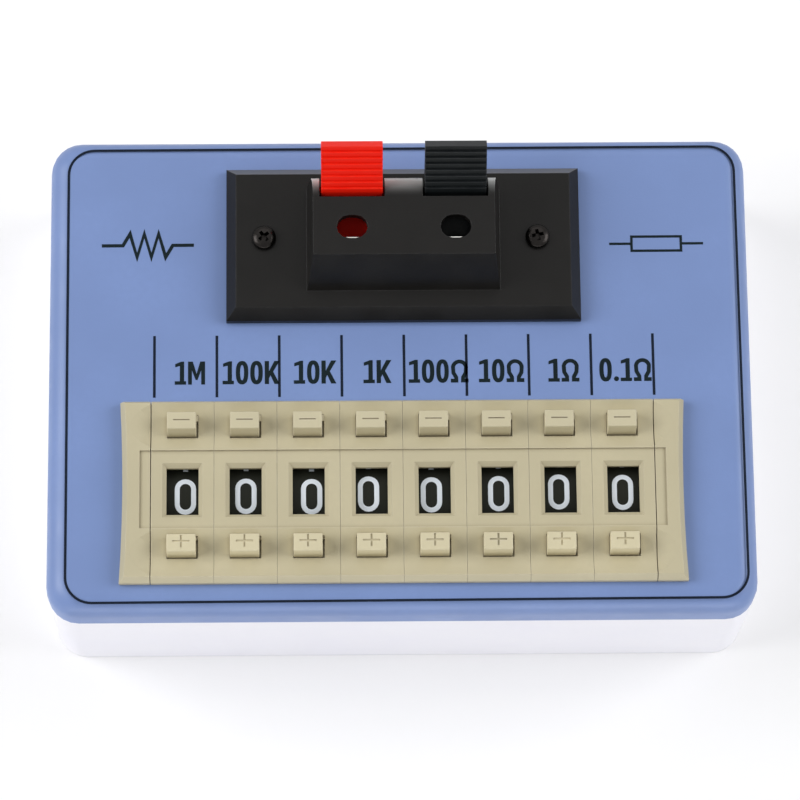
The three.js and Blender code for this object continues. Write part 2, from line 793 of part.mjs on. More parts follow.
// The board under the bank, with its soldered resistors lying across it
function resistorBoard() {
  const halfLength = resistorBoardLength / 2;
  let board = block(
    [bankCentreX - halfLength, resistorBoardY - resistorBoardDepth / 2, resistorBoardBottom],
    [bankCentreX + halfLength, resistorBoardY + resistorBoardDepth / 2, resistorBoardTop]);
  for (let index = 0; index < moduleCount; index += 1) {
    for (const row of [-1, 1]) {
      const x = moduleX(index);
      const y = bankCentreY + row * resistorRowOffset;
      const z = resistorBoardBottom - resistorRadius + resistorEmbed;
      const half = resistorLength / 2;
      board = join(board, rodY(resistorRadius, x, z, y - half, y + half, resistorSides));
    }
  }
  return board;
}

// The quarter round at the back of the terminal block
function blockRoundPoints() {
  const points = [];
  const centreY = terminalY + blockBackTop;
  for (let step = 1; step <= roundedEndSteps; step += 1) {
    const angle = (Math.PI / 2) * (1 - step / roundedEndSteps);
    points.push([
      centreY + blockBackRound * Math.cos(angle),
      blockTop - blockBackRound + blockBackRound * Math.sin(angle),
    ]);
  }
  return points.reverse();
}

function wireHole(x) {
  const radius = wireHoleWidth / 2;
  const reach = (wireHoleLength - wireHoleWidth) / 2;
  const y = terminalY + wireHoleY;
  const shape = new THREE.Shape();
  shape.absarc(x + reach, y, radius, -Math.PI / 2, Math.PI / 2);
  shape.absarc(x - reach, y, radius, Math.PI / 2, Math.PI * 1.5);
  return alongZ(shape, chamberTop - overrun, blockTop + overrun);
}

function terminalBody() {
  const plate = join(
    block(
      [terminalX - plateLength / 2, terminalY - plateDepth / 2, lidTop],
      [terminalX + plateLength / 2, terminalY + plateDepth / 2, plateTop - plateBevelDrop]),
    taperedBlock(terminalX, terminalY, [plateLength, plateDepth],
      [plateLength - 2 * plateBevelRun, plateDepth - 2 * plateBevelRun],
      plateTop - plateBevelDrop, plateTop));
  const section = [
    [terminalY - blockFrontBase, lidTop + plateThickness / 2],
    [terminalY + blockBackTop + blockBackRound, lidTop + plateThickness / 2],
    ...blockRoundPoints(),
    [terminalY + blockBackTop, blockTop],
    [terminalY - blockFrontTop, blockTop],
    [terminalY - blockFrontBase, plateTop],
  ];
  const long = alongX(section, terminalX - blockBaseLength / 2, terminalX + blockBaseLength / 2);
  const taper = alongY([
    [terminalX - blockBaseLength / 2, lidTop],
    [terminalX + blockBaseLength / 2, lidTop],
    [terminalX + blockBaseLength / 2, plateTop],
    [terminalX + blockTopLength / 2, blockTop],
    [terminalX - blockTopLength / 2, blockTop],
    [terminalX - blockBaseLength / 2, plateTop],
  ], terminalY - plateDepth, terminalY + plateDepth);
  const socket = block(
    [terminalX - socketLength / 2, terminalY - socketFront, socketBottom],
    [terminalX + socketLength / 2, terminalY + socketBack, lidTop + plateThickness / 2]);
  let body = join(plate, long.intersect(taper), socket);
  for (const side of [-1, 1]) {
    const x = terminalX + (side * wireHolePitch) / 2;
    const chamber = block(
      [x - chamberHalf, terminalY - chamberFront, chamberFloor],
      [x + chamberHalf, terminalY + chamberBack, chamberTop]);
    const slot = block(
      [x - chamberHalf, terminalY + leverSlotFront, plateTop + leverSlotFloor],
      [x + chamberHalf, terminalY + plateDepth, blockTop + overrun]);
    const pins = rodX(pivotPinRadius + pivotPinGap, terminalY + pivotY, lidTop + pivotHeight,
      x - chamberHalf - pivotPinReach, x + chamberHalf + pivotPinReach, pinSteps);
    const lugX = lugWidth / 2 + lugGap;
    const lugY = terminalY + contactFrontY;
    const lugSlot = block(
      [x - lugX, lugY - lugGap, socketBottom - overrun],
      [x + lugX, lugY + contactThickness + lugGap, chamberFloor + overrun]);
    const screwHole = rodZ(plateScrewShankRadius + screwHoleGap, plateScrewX + (side * plateScrewPitch) / 2,
      plateScrewY, lidTop - overrun, plateTop + overrun, pinSteps);
    body = cut(body, chamber, slot, pins, lugSlot, screwHole, wireHole(x));
  }
  return body;
}

// One lever of the terminal, at its own X: a ribbed finger, a hub with two pins and an inner arm
function terminalLever() {
  const root = new THREE.Vector2(terminalY + leverRootY, lidTop + leverRootHeight);
  const tip = new THREE.Vector2(terminalY + leverTopY, lidTop + leverTopHeight);
  const along = tip.clone().sub(root).normalize();
  const inward = new THREE.Vector2(along.y, -along.x);
  const length = tip.distanceTo(root);
  const ribPitch = length / ribCount;
  const faceAt = (distance, sink) => {
    const point = root.clone().addScaledVector(along, distance).addScaledVector(inward, sink);
    return [point.x, point.y];
  };
  const pivot = [terminalY + pivotY, lidTop + pivotHeight];
  const face = [];
  for (let rib = 0; rib < ribCount; rib += 1) {
    face.push(faceAt(rib * ribPitch, ribDepth));
    face.push(faceAt((rib + 1) * ribPitch, 0));
  }
  const finger = alongX([
    ...face.reverse(),
    [pivot[0] - pivotHubRadius, pivot[1]],
    [pivot[0] + pivotHubRadius, pivot[1]],
    faceAt(length, leverThickness - leverTipTaper),
  ], -leverWidth / 2, leverWidth / 2);
  const hub = rodX(pivotHubRadius, pivot[0], pivot[1], -leverWidth / 2, leverWidth / 2);
  const pinEnd = leverWidth / 2 + pivotPinReach;
  const pins = rodX(pivotPinRadius, pivot[0], pivot[1], -pinEnd, pinEnd, pinSteps);
  const arm = alongX([
    [terminalY + armTipY + armTipSlant, lidTop + armTipHeight - armTipThickness],
    [pivot[0], pivot[1] - armRootDrop],
    [pivot[0], pivot[1] + armRootHeight],
    [terminalY + armTipY, lidTop + armTipHeight],
  ], -leverWidth / 2, leverWidth / 2);
  return join(finger, hub, pins, arm);
}

// The bent strip in one chamber, at its own X: upright, foot, rising leaf and solder lug
function terminalContact() {
  const half = contactWidth / 2;
  const frontY = terminalY + contactFrontY;
  const backY = terminalY + contactBackY;
  const leafTopY = terminalY + contactLeafY;
  const armUnderside = lidTop + armTipHeight - armTipThickness;
  const leafTop = armUnderside - contactLeafGap;
  const strip = alongX([
    [frontY, chamberFloor],
    [backY, chamberFloor],
    [backY, chamberFloor + contactThickness],
    [leafTopY, leafTop],
    [leafTopY - contactThickness, leafTop],
    [backY - contactThickness, chamberFloor + contactThickness],
    [frontY + contactThickness, chamberFloor + contactThickness],
    [frontY + contactThickness, chamberTop - contactTopGap],
    [frontY, chamberTop - contactTopGap],
  ], -half, half);
  const lug = block(
    [-lugWidth / 2, frontY, lugBottom],
    [lugWidth / 2, frontY + contactThickness, chamberFloor + contactThickness / 2]);
  return join(strip, lug);
}

// A wire from a contact's lug to the resistor board's back corner on one side
function hookUpWire(side) {
  const lugX = terminalX + (side * wireHolePitch) / 2;
  const lugY = terminalY + contactFrontY + contactThickness / 2;
  const start = lugBottom - wireEndGap;
  const padX = bankCentreX + side * (resistorBoardLength / 2 - wirePadInsetX);
  const padY = resistorBoardY + resistorBoardDepth / 2 - wirePadInsetY;
  const end = resistorBoardTop + wireEndGap;
  const path = new THREE.CatmullRomCurve3([
    new THREE.Vector3(lugX, lugY, start),
    new THREE.Vector3(lugX, lugY, start - wireStraight),
    new THREE.Vector3(side * wireSweepX, wireSweepY, wireRunHeight),
    new THREE.Vector3(padX, padY, end + wireStraight),
    new THREE.Vector3(padX, padY, end),
  ]);
  const section = new THREE.Shape();
  section.absarc(0, 0, wireRadius, 0, Math.PI * 2);
  const geometry = new THREE.ExtrudeGeometry(section, {
    steps: wireSteps,
    curveSegments: wireArcSteps,
    extrudePath: path,
    bevelEnabled: false,
  });
  return solidOf(geometry);
}

const resistanceBox = new THREE.Group();
resistanceBox.name = 'resistance_box';

function place(parent, name, solid, material, x = 0, y = 0, z = 0) {
  const mesh = new THREE.Mesh(geometryOf(solid), material);
  mesh.name = name;
  mesh.position.set(x, y, z);
  parent.add(mesh);
  return mesh;
}

// Case and its screws
place(resistanceBox, 'lower_housing', lowerHousing(), whitePlastic());
place(resistanceBox, 'upper_lid', upperLid(), bluePlastic());
cornerPlaces().forEach(([x, y], index) => {
  const screw = crossHeadScrew(lidScrewHeadRadius, lidScrewHeadHeight, lidScrewShankRadius, lidScrewLength);
  const mesh = place(resistanceBox, `lid_screw_${index + 1}`, screw, rodMetal(), x, y, counterboreDepth);
  mesh.rotation.x = Math.PI;
});

// Push terminal
place(resistanceBox, 'terminal_body', terminalBody(), blackPlastic());
const terminalSides = [
  ['red', -1, redPlastic],
  ['black', 1, blackPlastic],
];
for (const [colour, side, leverMaterial] of terminalSides) {
  const x = terminalX + (side * wireHolePitch) / 2;
  place(resistanceBox, `${colour}_lever`, terminalLever(), leverMaterial(), x);
  place(resistanceBox, `${colour}_contact`, terminalContact(), springMetal(), x);
}
for (const [label, side] of [['left', -1], ['right', 1]]) {
  const screw = crossHeadScrew(
    plateScrewHeadRadius, plateScrewHeadHeight, plateScrewShankRadius, plateScrewLength);
  const x = plateScrewX + (side * plateScrewPitch) / 2;
  place(resistanceBox, `terminal_screw_${label}`, screw, blackScrewMetal(), x, plateScrewY, plateTop);
}

// Switch bank: one group for each module, from left to right
for (let index = 0; index < moduleCount; index += 1) {
  const module = new THREE.Group();
  module.position.set(moduleX(index), bankCentreY, 0);
  const number = index + 1;
  place(module, `switch_frame_${number}`, switchFrame(), beigePlastic());
  place(module, `digit_wheel_${number}`, digitWheel(), wheelPlastic(), 0, 0, wheelCentreZ);
  place(module, `minus_button_${number}`, minusButton(), buttonPlastic());
  place(module, `plus_button_${number}`, plusButton(), buttonPlastic());
  place(module, `contact_board_${number}`, contactBoard(), boardGreen());
  resistanceBox.add(module);
}

// The left end plate is the right one's mirror image
const rightEnd = endPlate();
place(resistanceBox, 'end_plate_right', rightEnd, beigePlastic(), bankCentreX, bankCentreY);
place(resistanceBox, 'end_plate_left', rightEnd.mirror([1, 0, 0]), beigePlastic(), bankCentreX, bankCentreY);
place(resistanceBox, 'tie_rod_front', tieRod(), rodMetal(), bankCentreX, bankCentreY - tieRodOffset, tieRodZ);
place(resistanceBox, 'tie_rod_back', tieRod(), rodMetal(), bankCentreX, bankCentreY + tieRodOffset, tieRodZ);

// Boards and wiring
place(resistanceBox, 'resistor_board', resistorBoard(), boardGreen());
place(resistanceBox, 'red_wire', hookUpWire(-1), wireRed());
place(resistanceBox, 'black_wire', hookUpWire(1), wireBlack());

export default resistanceBox;
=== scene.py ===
import math

import bmesh
import bpy
from mathutils import Matrix, Vector


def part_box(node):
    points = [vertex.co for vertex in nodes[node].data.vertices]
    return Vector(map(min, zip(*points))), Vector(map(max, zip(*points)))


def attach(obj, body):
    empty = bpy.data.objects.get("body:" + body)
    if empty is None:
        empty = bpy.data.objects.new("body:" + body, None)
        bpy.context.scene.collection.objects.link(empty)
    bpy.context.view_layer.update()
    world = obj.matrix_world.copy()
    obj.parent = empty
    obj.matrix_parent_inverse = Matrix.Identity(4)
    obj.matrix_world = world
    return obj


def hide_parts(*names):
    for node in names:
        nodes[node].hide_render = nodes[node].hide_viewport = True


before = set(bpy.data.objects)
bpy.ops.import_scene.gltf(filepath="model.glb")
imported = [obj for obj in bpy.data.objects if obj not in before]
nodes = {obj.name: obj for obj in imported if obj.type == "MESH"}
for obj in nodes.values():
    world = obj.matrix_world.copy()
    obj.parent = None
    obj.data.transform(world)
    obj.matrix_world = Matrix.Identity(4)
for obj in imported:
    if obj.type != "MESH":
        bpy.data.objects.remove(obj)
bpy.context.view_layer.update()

# Sizes below are in millimetres and are turned into metres by this factor
MM = 0.001

# Camera: the point of the lid's top face that it looks at, its distance and its angles in degrees
CAMERA_AIM = (-0.14, -4.94)
CAMERA_DISTANCE = 649.9
CAMERA_ELEVATION = 74.35
CAMERA_AZIMUTH = 3.746
CAMERA_ROLL = 3.275
CAMERA_LENS = 182.83
CAMERA_NEAR = 10.0
CAMERA_FAR = 20000.0

# Lamps: degrees round from the back and up, then distance, width, height and power
LAMPS = {
    "left_softbox": (-86, 40, 900, 600, 500, 5.2),
    "right_softbox": (86, 38, 900, 600, 500, 4.2),
    "back_softbox": (0, 50, 900, 700, 500, 0.8),
    "front_strip": (180, 7, 900, 900, 150, 1.3),
    "table_glow": (180, 2.3, 400, 600, 30, 0.33),
}
FILL_STRENGTH = 0.22
BACKDROP_STRENGTH = 1.0

# Floor: it lies a little low and is clear to very short rays, so the underside shows from below
FLOOR_HALF = 900.0
FLOOR_DROP = 0.02
FLOOR_CLEAR_REACH = 0.2
FLOOR_COLOUR = (0.86, 0.86, 0.87)
FLOOR_ROUGHNESS = 0.12
FLOOR_GLOSS = 0.6
FLOOR_GLOW = 0.16

# Patterns of the materials: their sizes, and how strongly each shows
RISING = (0.0, 1.0)
FALLING = (1.0, 0.0)
NOISE_RANGE = (0.35, 0.65)
MOTTLE_SIZE = 18.0
SPECK_SIZE = 1.1
SPECK_SHARE = 0.35
RUB_SIZE = 2.5
RUB_LEAST_SHARE = 0.2
SHEEN_SIZE = 6.0
SHEEN_SPREAD = 0.05
TARNISH_SIZE = 2.2
TARNISH_SHARE = 0.82
METAL_SHEEN_SIZE = 0.7
METAL_SHEEN_LESS = 0.06
METAL_SHEEN_MORE = 0.1

# Worn edges that are partly a painted highlight, painted shade with some dirt in corners, and hollows that
# shine less as painted shade
WORN_EDGE_RADIUS = 0.35
WORN_COSINES = (0.8, 0.98)
WORN_SAMPLES = 4
CORNER_OPEN_SHARES = (0.35, 0.95)
CORNER_SAMPLES = 6
HOLLOW_REACH = 4.0
HOLLOW_FULL_SHARE = 0.6
SOFT_EDGE_SAMPLES = 6

# Painted highlight at the terminal's back, grey painted where the round and the plate's back bevel reflect
# light:
# where the block's round starts behind the middle, and the part of the normal that points back where the
# grey begins, and where a face is upright
ROUND_START = 4.9
ROUND_RADIUS = 3.8
ROUND_FULL_SHARE = 0.72
ROUND_FADE = 0.7
ROUND_PAINTED_HIGHLIGHT = (0.56, 0.57, 0.56)
BEVEL_PAINTED_HIGHLIGHT = (0.17, 0.17, 0.175)
BACK_TURNED_SHARES = (0.02, 0.12)
BACK_UPRIGHT_SHARES = (0.8, 0.95)

# Edge rounding given to the pieces that are carried over
EDGE_CASE = 0.35
EDGE_BANK = 0.02
EDGE_END_PLATE = 0.05
EDGE_LEVER = 0.12
EDGE_SMALL = 0.05
EDGE_SEGMENTS = 3
SHARP_ANGLE = 32
FLAT_ANGLE = 0.5
WELD_DISTANCE = 0.001

# Strokes: how far a mitred corner may reach, and the gap at which two points are one
MITRE_LEAST_COSINE = 0.35
SAME_PLACE = 0.000001

# Switch bank: the wheels, with places from a module's centre
MODULE_COUNT = 8
MODULES = range(1, MODULE_COUNT + 1)
WHEEL_RIM_LOW = -2.8
WHEEL_RIM_HIGH = 2.8
WHEEL_RADIUS = 11.2
WHEEL_RIM_THICKNESS = 1.4
WHEEL_RIM_CHAMFER = 0.12
WHEEL_WEB = 1.75
WHEEL_HUB_RADIUS = 3.2
WHEEL_HUB_LOW = -2.93
WHEEL_HUB_HIGH = 4.73
WHEEL_BORE = 2.15
WHEEL_STEPS = 120
RATCHET_RADIUS = 7
RATCHET_DEPTH = 1
RATCHET_LOW = 2.75
RATCHET_HIGH = 3.85
RATCHET_RISE_SHARE = 0.8
DIGIT_COUNT = 10

# Numerals on the wheels: half width and half height of the stroke's centre line
NUMERAL_HALF_WIDTH = 1.3
NUMERAL_HALF_HEIGHT = 2.5
NUMERAL_STROKE = 0.78
NUMERAL_FOOT = 0.15
NUMERAL_EMBED = 0.05
NUMERAL_PROUD = 0.03
NUMERAL_POINT_GAP = 0.5
NUMERAL_SHIFTS = (0.42, 0.03, 0.46, -0.50, -0.50, 0.20, -0.24, -0.07)
NUMERAL_DROPS = (0.66, 0.60, 0.74, 0.35, 0.55, 0.42, 0.20, 0.33)

# Parts of the numerals, in shares of the half width across and of the half height up
ONE_FLAG_SHARES = (-0.75, 0.6)
ONE_FLAG_TOP_SHARE = 0.85
TWO_FOOT_SHARES = ((-1, -0.88), (-1, -1), (1, -1))
WAIST_SHARES = (0.1, 0.1)
UPPER_BOWL_SHARE = 0.98
FOUR_SHARES = ((0.45, 1), (-1, -0.42), (1, -0.42))
FIVE_HEAD_SHARES = ((0.9, 1), (-0.8, 1), (-0.9, 0.22))
FIVE_BOWL_SHARE = 1.06
FIVE_BOWL_RISE_SHARE = 0.12
SIX_LOOP_RISE_SHARE = 0.15
SEVEN_HEAD_SHARES = ((-1, 1), (1, 1), (1, 0.75))
SEVEN_FOOT_SHARE = -0.25
EIGHT_TOP_SHARE = 0.9

# Button caps, and the marks cut into them
CAP_FOOT_RISE = 0.5
CAP_BEVEL = 0.16
CAP_BEVEL_PROFILE = 0.5
CAP_FLANGE = 0.5
CAP_SHIFT = -0.12
PLUS_CAP_DEPTH = 3.23
MARK_DEPTH = 0.16
MARK_REACH_SHARE = 1.1
MARK_SLACK = 0.01
MARK_LIP = 0.005
MINUS_MARK_WIDTH = 0.22
MINUS_MARK_LENGTH = 2.6
MINUS_MARK_FORWARD = 1.28
PLUS_MARK_WIDTH = 0.32
PLUS_MARK_LENGTH = 2.7
PLUS_MARK_HEIGHT = 2.0
PLUS_MARK_BACK = 2.05
SHOULDER_RISE = 1.3
SHOULDER_BACK = 0.12
SHOULDER_HEIGHT = 1.0
SHOULDER_REACH = 0.27
SHOULDER_DEPTHS = {"minus": 0.95, "plus": 0.5}

# Ink printed on the lid
INK_THICKNESS = 0.03
OUTLINE_CENTRE = (0.63, -0.1)
OUTLINE_SIZE = (108.07, 75.28)
OUTLINE_RADIUS = 4.2
OUTLINE_STROKE = 0.4
OUTLINE_CORNER_STEPS = 12
PRINT_TURN = 0.0025
TICK_FIRST = -39.42
TICK_PITCH = 10.0
TICK_LOW = -4.32
TICK_HIGH = 5.95
TICK_WIDTH = 0.42
SYMBOL_STROKE = 0.55
SYMBOL_LEFT = (-40.6, 21.2)
SYMBOL_RIGHT = (41.6, 21.1)
SYMBOL_LEAD = 3.4
ZIGZAG_STEP = 1.15
ZIGZAG_HEIGHT = 2.0
ZIGZAG_TURNS = 6
RESISTOR_HALF_LENGTH = 4.0
RESISTOR_HALF_HEIGHT = 1.2
RESISTOR_STROKE_SHARE = 0.75

# Decade values, each with its left edge; the letter O stands for the ohm sign
VALUES = (
    ("1M", -36.15), ("100K", -28.5), ("10K", -17.1), ("1K", -5.95),
    ("100O", 1.3), ("10O", 12.55), ("1O", 23.7), ("0.1O", 31.9),
)
VALUE_HEIGHT = 3.83
VALUE_STROKE = 0.68
VALUE_GAP = 0.32
VALUE_BASE = -2.1
LETTER_WIDTH_SHARES = {"0": 0.52, "O": 0.74, ".": 0.2}
NOUGHT_HEIGHT_SHARE = 1.02
NOUGHT_POWER = 0.8
NOUGHT_STEPS = 40
OMEGA_STROKE_SHARE = 0.92
OMEGA_BOWL_SHARE = 0.98
OMEGA_FOOT_SHARE = 0.45
OMEGA_FOOT_END_SHARE = 0.23
OMEGA_NECK_SHARES = (0.225, 0.22)
OMEGA_THROAT_SHARES = (0.93, 0.42)
POINT_SHARE = 0.6

# Corners of the straight letters: shares of the height and of the stroke across, then up
LETTER_CORNER_SHARES = {
    "1": (
        (0, 0, 0, 0), (0.47, 0, 0, 0), (0.47, 0, 0, 0.85), (0.30, 0.5, 0, 0.85), (0.30, 0.5, 1, 0),
        (0.30, -0.15, 1, 0), (0.02, 0, 0.90, 0), (0.02, 0, 0.76, 0), (0.30, -0.5, 0.81, 0),
        (0.30, -0.5, 0, 0.85), (0, 0, 0, 0.85)),
    "M": (
        (0, 0, 0, 0), (0, 0.9, 0, 0), (0, 0.9, 0.62, 0), (0.355, -0.22, 0.20, 0),
        (0.355, 0.22, 0.20, 0), (0.71, -0.9, 0.62, 0), (0.71, -0.9, 0, 0), (0.71, 0, 0, 0),
        (0.71, 0, 1, 0), (0.71, -1.12, 1, 0), (0.355, 0, 0.46, 0), (0, 1.12, 1, 0), (0, 0, 1, 0)),
    "K": (
        (0, 0, 0, 0), (0, 1, 0, 0), (0, 1, 0.25, 0), (0.243, 0, 0.374, 0), (0.62, -1.2, 0, 0),
        (0.62, 0, 0, 0), (0.35, 0, 0.535, 0), (0.62, 0, 1, 0), (0.62, -1.2, 1, 0), (0, 1, 0.55, 0),
        (0, 1, 1, 0), (0, 0, 1, 0)),
}

# Cross-head screws of the terminal plate, and the turn of each cross in degrees
SCREW_STEPS = 48
SCREW_LENGTH = 10.0
SCREW_SHANK_RADIUS = 1.0
SCREW_TIP_SHARE = 0.4
SCREW_UNDER_SHARE = 0.98
SCREW_EDGE_SHARE = 0.05
SCREW_DOME_SHARE = 0.6
SCREW_DOME_POWER = 0.75
SCREW_DOME_STEPS = 9
SCREW_SLOT_WIDTH = 0.62
SCREW_SLOT_REACH = 1.25
SCREW_SLOT_DEPTH = 0.95
SCREW_SLOT_OVERRUN = 1.0
SCREW_SLOT_TAPER_SHARE = 0.35
SCREW_SLOT_MOUTH_SHARE = 1.25
SCREW_SLOT_STRAIGHT_SHARE = 0.55
SCREW_TURNS = {"left": 38.0, "right": 12.0}
LID_SCREW_COUNT = 4

LID_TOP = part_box("upper_lid")[1].z / MM


def module_centre(number):
    """The middle of a module across the row, and of its wheel from front to back."""
    low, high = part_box(f"switch_frame_{number}")
    wheel_low, wheel_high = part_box(f"digit_wheel_{number}")
    return (low.x + high.x) / 2 / MM, (wheel_low.y + wheel_high.y) / 2 / MM


def new_object(name, data):
    obj = bpy.data.objects.new(name, data)
    bpy.context.scene.collection.objects.link(obj)
    return obj


# Camera
def add_camera():
    data = bpy.data.cameras.new("photo_camera")
    data.lens = CAMERA_LENS
    data.clip_start = CAMERA_NEAR * MM
    data.clip_end = CAMERA_FAR * MM
    camera = new_object("photo_camera", data)
    aim = Vector((*CAMERA_AIM, LID_TOP)) * MM
    elevation = math.radians(CAMERA_ELEVATION)
    azimuth = math.radians(CAMERA_AZIMUTH)
    away = Vector((
        -math.sin(azimuth) * math.cos(elevation),
        -math.cos(azimuth) * math.cos(elevation),
        math.sin(elevation)))
    camera.location = aim + away * CAMERA_DISTANCE * MM
    look = (-away).to_track_quat("-Z", "Y").to_matrix()
    roll = Matrix.Rotation(math.radians(CAMERA_ROLL), 3, "Z")
    camera.rotation_euler = (look @ roll).to_euler()
    bpy.context.scene.camera = camera


# Light, backdrop and floor
def add_lamp(name, azimuth, elevation, distance, width, height, power):
    data = bpy.data.lights.new(name, "AREA")
    data.shape = "RECTANGLE"
    data.size = width * MM
    data.size_y = height * MM
    data.energy = power
    lamp = new_object(name, data)
    turn = math.radians(azimuth)
    rise = math.radians(elevation)
    way = Vector((math.sin(turn) * math.cos(rise), math.cos(turn) * math.cos(rise), math.sin(rise)))
    lamp.location = way * distance * MM
    lamp.rotation_euler = way.to_track_quat("Z", "Y").to_euler()


def add_math(tree, operation, first, second):
    """Reckons with two values, each of them a socket or a number."""
    node = tree.nodes.new("ShaderNodeMath")
    node.operation = operation
    for slot, value in zip(node.inputs, (first, second)):
        if isinstance(value, float):
            slot.default_value = value
        else:
            tree.links.new(value, slot)
    return node.outputs[0]


def add_shader_mix(tree, share, first, second):
    mix = tree.nodes.new("ShaderNodeMixShader")
    for slot, source in zip(mix.inputs, (share, first, second)):
        tree.links.new(source, slot)
    return mix.outputs[0]


def seen_directly(tree):
    """One where a ray comes straight from the camera, off a gloss or through glass."""
    path = tree.nodes.new("ShaderNodeLightPath")
    plain = add_math(tree, "MAXIMUM", path.outputs["Is Camera Ray"], path.outputs["Is Glossy Ray"])
    return add_math(tree, "MAXIMUM", plain, path.outputs["Is Transmission Ray"])


def add_background(tree, strength):
    background = tree.nodes.new("ShaderNodeBackground")
    background.inputs["Color"].default_value = (1, 1, 1, 1)
    background.inputs["Strength"].default_value = strength
    return background.outputs[0]


def add_world():
    world = bpy.data.worlds.new("studio")
    bpy.context.scene.world = world
    world.use_nodes = True
    tree = world.node_tree
    tree.nodes.clear()
    fill = add_background(tree, FILL_STRENGTH)
    backdrop = add_background(tree, BACKDROP_STRENGTH)
    output = tree.nodes.new("ShaderNodeOutputWorld")
    surface = add_shader_mix(tree, seen_directly(tree), fill, backdrop)
    tree.links.new(surface, output.inputs["Surface"])


def floor_material():
    """Pale and glossy, nearly white to the camera, and clear from below and very close up."""
    material = bpy.data.materials.new("pale_floor")
    material.use_nodes = True
    tree = material.node_tree
    shader = tree.nodes["Principled BSDF"]
    shader.inputs["Base Color"].default_value = (*FLOOR_COLOUR, 1)
    shader.inputs["Roughness"].default_value = FLOOR_ROUGHNESS
    shader.inputs["Specular IOR Level"].default_value = FLOOR_GLOSS
    glow = tree.nodes.new("ShaderNodeEmission")
    glow.inputs["Strength"].default_value = FLOOR_GLOW
    total = tree.nodes.new("ShaderNodeAddShader")
    tree.links.new(shader.outputs[0], total.inputs[0])
    tree.links.new(glow.outputs[0], total.inputs[1])
    above = add_shader_mix(tree, seen_directly(tree), shader.outputs[0], total.outputs[0])
    ray = tree.nodes.new("ShaderNodeLightPath").outputs["Ray Length"]
    near = add_math(tree, "LESS_THAN", ray, FLOOR_CLEAR_REACH * MM)
    below = tree.nodes.new("ShaderNodeNewGeometry").outputs["Backfacing"]
    clear = tree.nodes.new("ShaderNodeBsdfTransparent").outputs[0]
    surface = add_shader_mix(tree, add_math(tree, "MAXIMUM", near, below), above, clear)
    tree.links.new(surface, tree.nodes["Material Output"].inputs["Surface"])
    return material


def add_floor():
    half = FLOOR_HALF * MM
    level = -FLOOR_DROP * MM
    corners = [(-half, -half, level), (half, -half, level), (half, half, level), (-half, half, level)]
    mesh = bpy.data.meshes.new("floor")
    mesh.from_pydata(corners, [], [(0, 1, 2, 3)])
    mesh.materials.append(floor_material())
    floor = new_object("floor", mesh)


# Materials: the nodes that they are made of
def add_noise(tree, place, size, detail=3.0):
    noise = tree.nodes.new("ShaderNodeTexNoise")
    noise.inputs["Scale"].default_value = 1 / (size * MM)
    noise.inputs["Detail"].default_value = detail
    tree.links.new(place, noise.inputs["Vector"])
    return noise.outputs["Fac"]


def add_range(tree, value, result, source=NOISE_RANGE):
    """Turns a value that runs over the source range into one that runs over the result range."""
    span = tree.nodes.new("ShaderNodeMapRange")
    span.inputs["From Min"].default_value = source[0]
    span.inputs["From Max"].default_value = source[1]
    span.inputs["To Min"].default_value = result[0]
    span.inputs["To Max"].default_value = result[1]
    tree.links.new(value, span.inputs["Value"])
    return span.outputs["Result"]


def add_product(tree, first, *others):
    for other in others:
        first = add_math(tree, "MULTIPLY", first, other)
    return first


def add_mix(tree, share, first, second):
    """A colour between two others, each of them a socket or plain numbers."""
    mix = tree.nodes.new("ShaderNodeMix")
    mix.data_type = "RGBA"
    tree.links.new(share, mix.inputs["Factor"])
    for slot, colour in ((mix.inputs["A"], first), (mix.inputs["B"], second)):
        if isinstance(colour, tuple):
            slot.default_value = (*colour, 1)
        else:
            tree.links.new(colour, slot)
    return mix.outputs["Result"]


def add_parts(tree, vector):
    """The X, Y and Z of a vector, by name."""
    parts = tree.nodes.new("ShaderNodeSeparateXYZ")
    tree.links.new(vector, parts.inputs[0])
    return parts.outputs


def shaded(colour, share):
    return tuple(min(1.0, part * share) for part in colour)


def edge_mask(tree):
    """One on edges, where a rounded normal leaves the true one; it marks paler edges that are partly wear
    and partly a painted highlight.
    """
    soft = tree.nodes.new("ShaderNodeBevel")
    soft.samples = WORN_SAMPLES
    soft.inputs["Radius"].default_value = WORN_EDGE_RADIUS * MM
    true = tree.nodes.new("ShaderNodeNewGeometry")
    dot = tree.nodes.new("ShaderNodeVectorMath")
    dot.operation = "DOT_PRODUCT"
    tree.links.new(soft.outputs["Normal"], dot.inputs[0])
    tree.links.new(true.outputs["Normal"], dot.inputs[1])
    return add_range(tree, dot.outputs["Value"], FALLING, WORN_COSINES)


def corner_shade_mask(tree, reach):
    """One deep in corners and hollows, where shade falls; it paints shade there, with some dirt, and dulls
    the shine of hollows.
    """
    shade = tree.nodes.new("ShaderNodeAmbientOcclusion")
    shade.samples = CORNER_SAMPLES
    shade.inputs["Distance"].default_value = reach * MM
    return add_range(tree, shade.outputs["AO"], FALLING, CORNER_OPEN_SHARES)


def new_material(name):
    """A new material with its node tree, its shader and the place on the object."""
    material = bpy.data.materials.new(name)
    material.use_nodes = True
    tree = material.node_tree
    place = tree.nodes.new("ShaderNodeTexCoord").outputs["Object"]
    return material, tree, tree.nodes["Principled BSDF"], place


def add_sheen(tree, shader, place, size, least, most):
    sheen = add_range(tree, add_noise(tree, place, size), (least, most))
    tree.links.new(sheen, shader.inputs["Roughness"])


def add_relief(tree, shader, place, size, depth, detail, soft_edge=0.0):
    """Fine grain, over edges that catch the light as if they were rounded."""
    bump = tree.nodes.new("ShaderNodeBump")
    bump.inputs["Distance"].default_value = depth * MM
    tree.links.new(add_noise(tree, place, size, detail), bump.inputs["Height"])
    if soft_edge:
        rounded = tree.nodes.new("ShaderNodeBevel")
        rounded.samples = SOFT_EDGE_SAMPLES
        rounded.inputs["Radius"].default_value = soft_edge * MM
        tree.links.new(rounded.outputs["Normal"], bump.inputs["Normal"])
    tree.links.new(bump.outputs["Normal"], shader.inputs["Normal"])


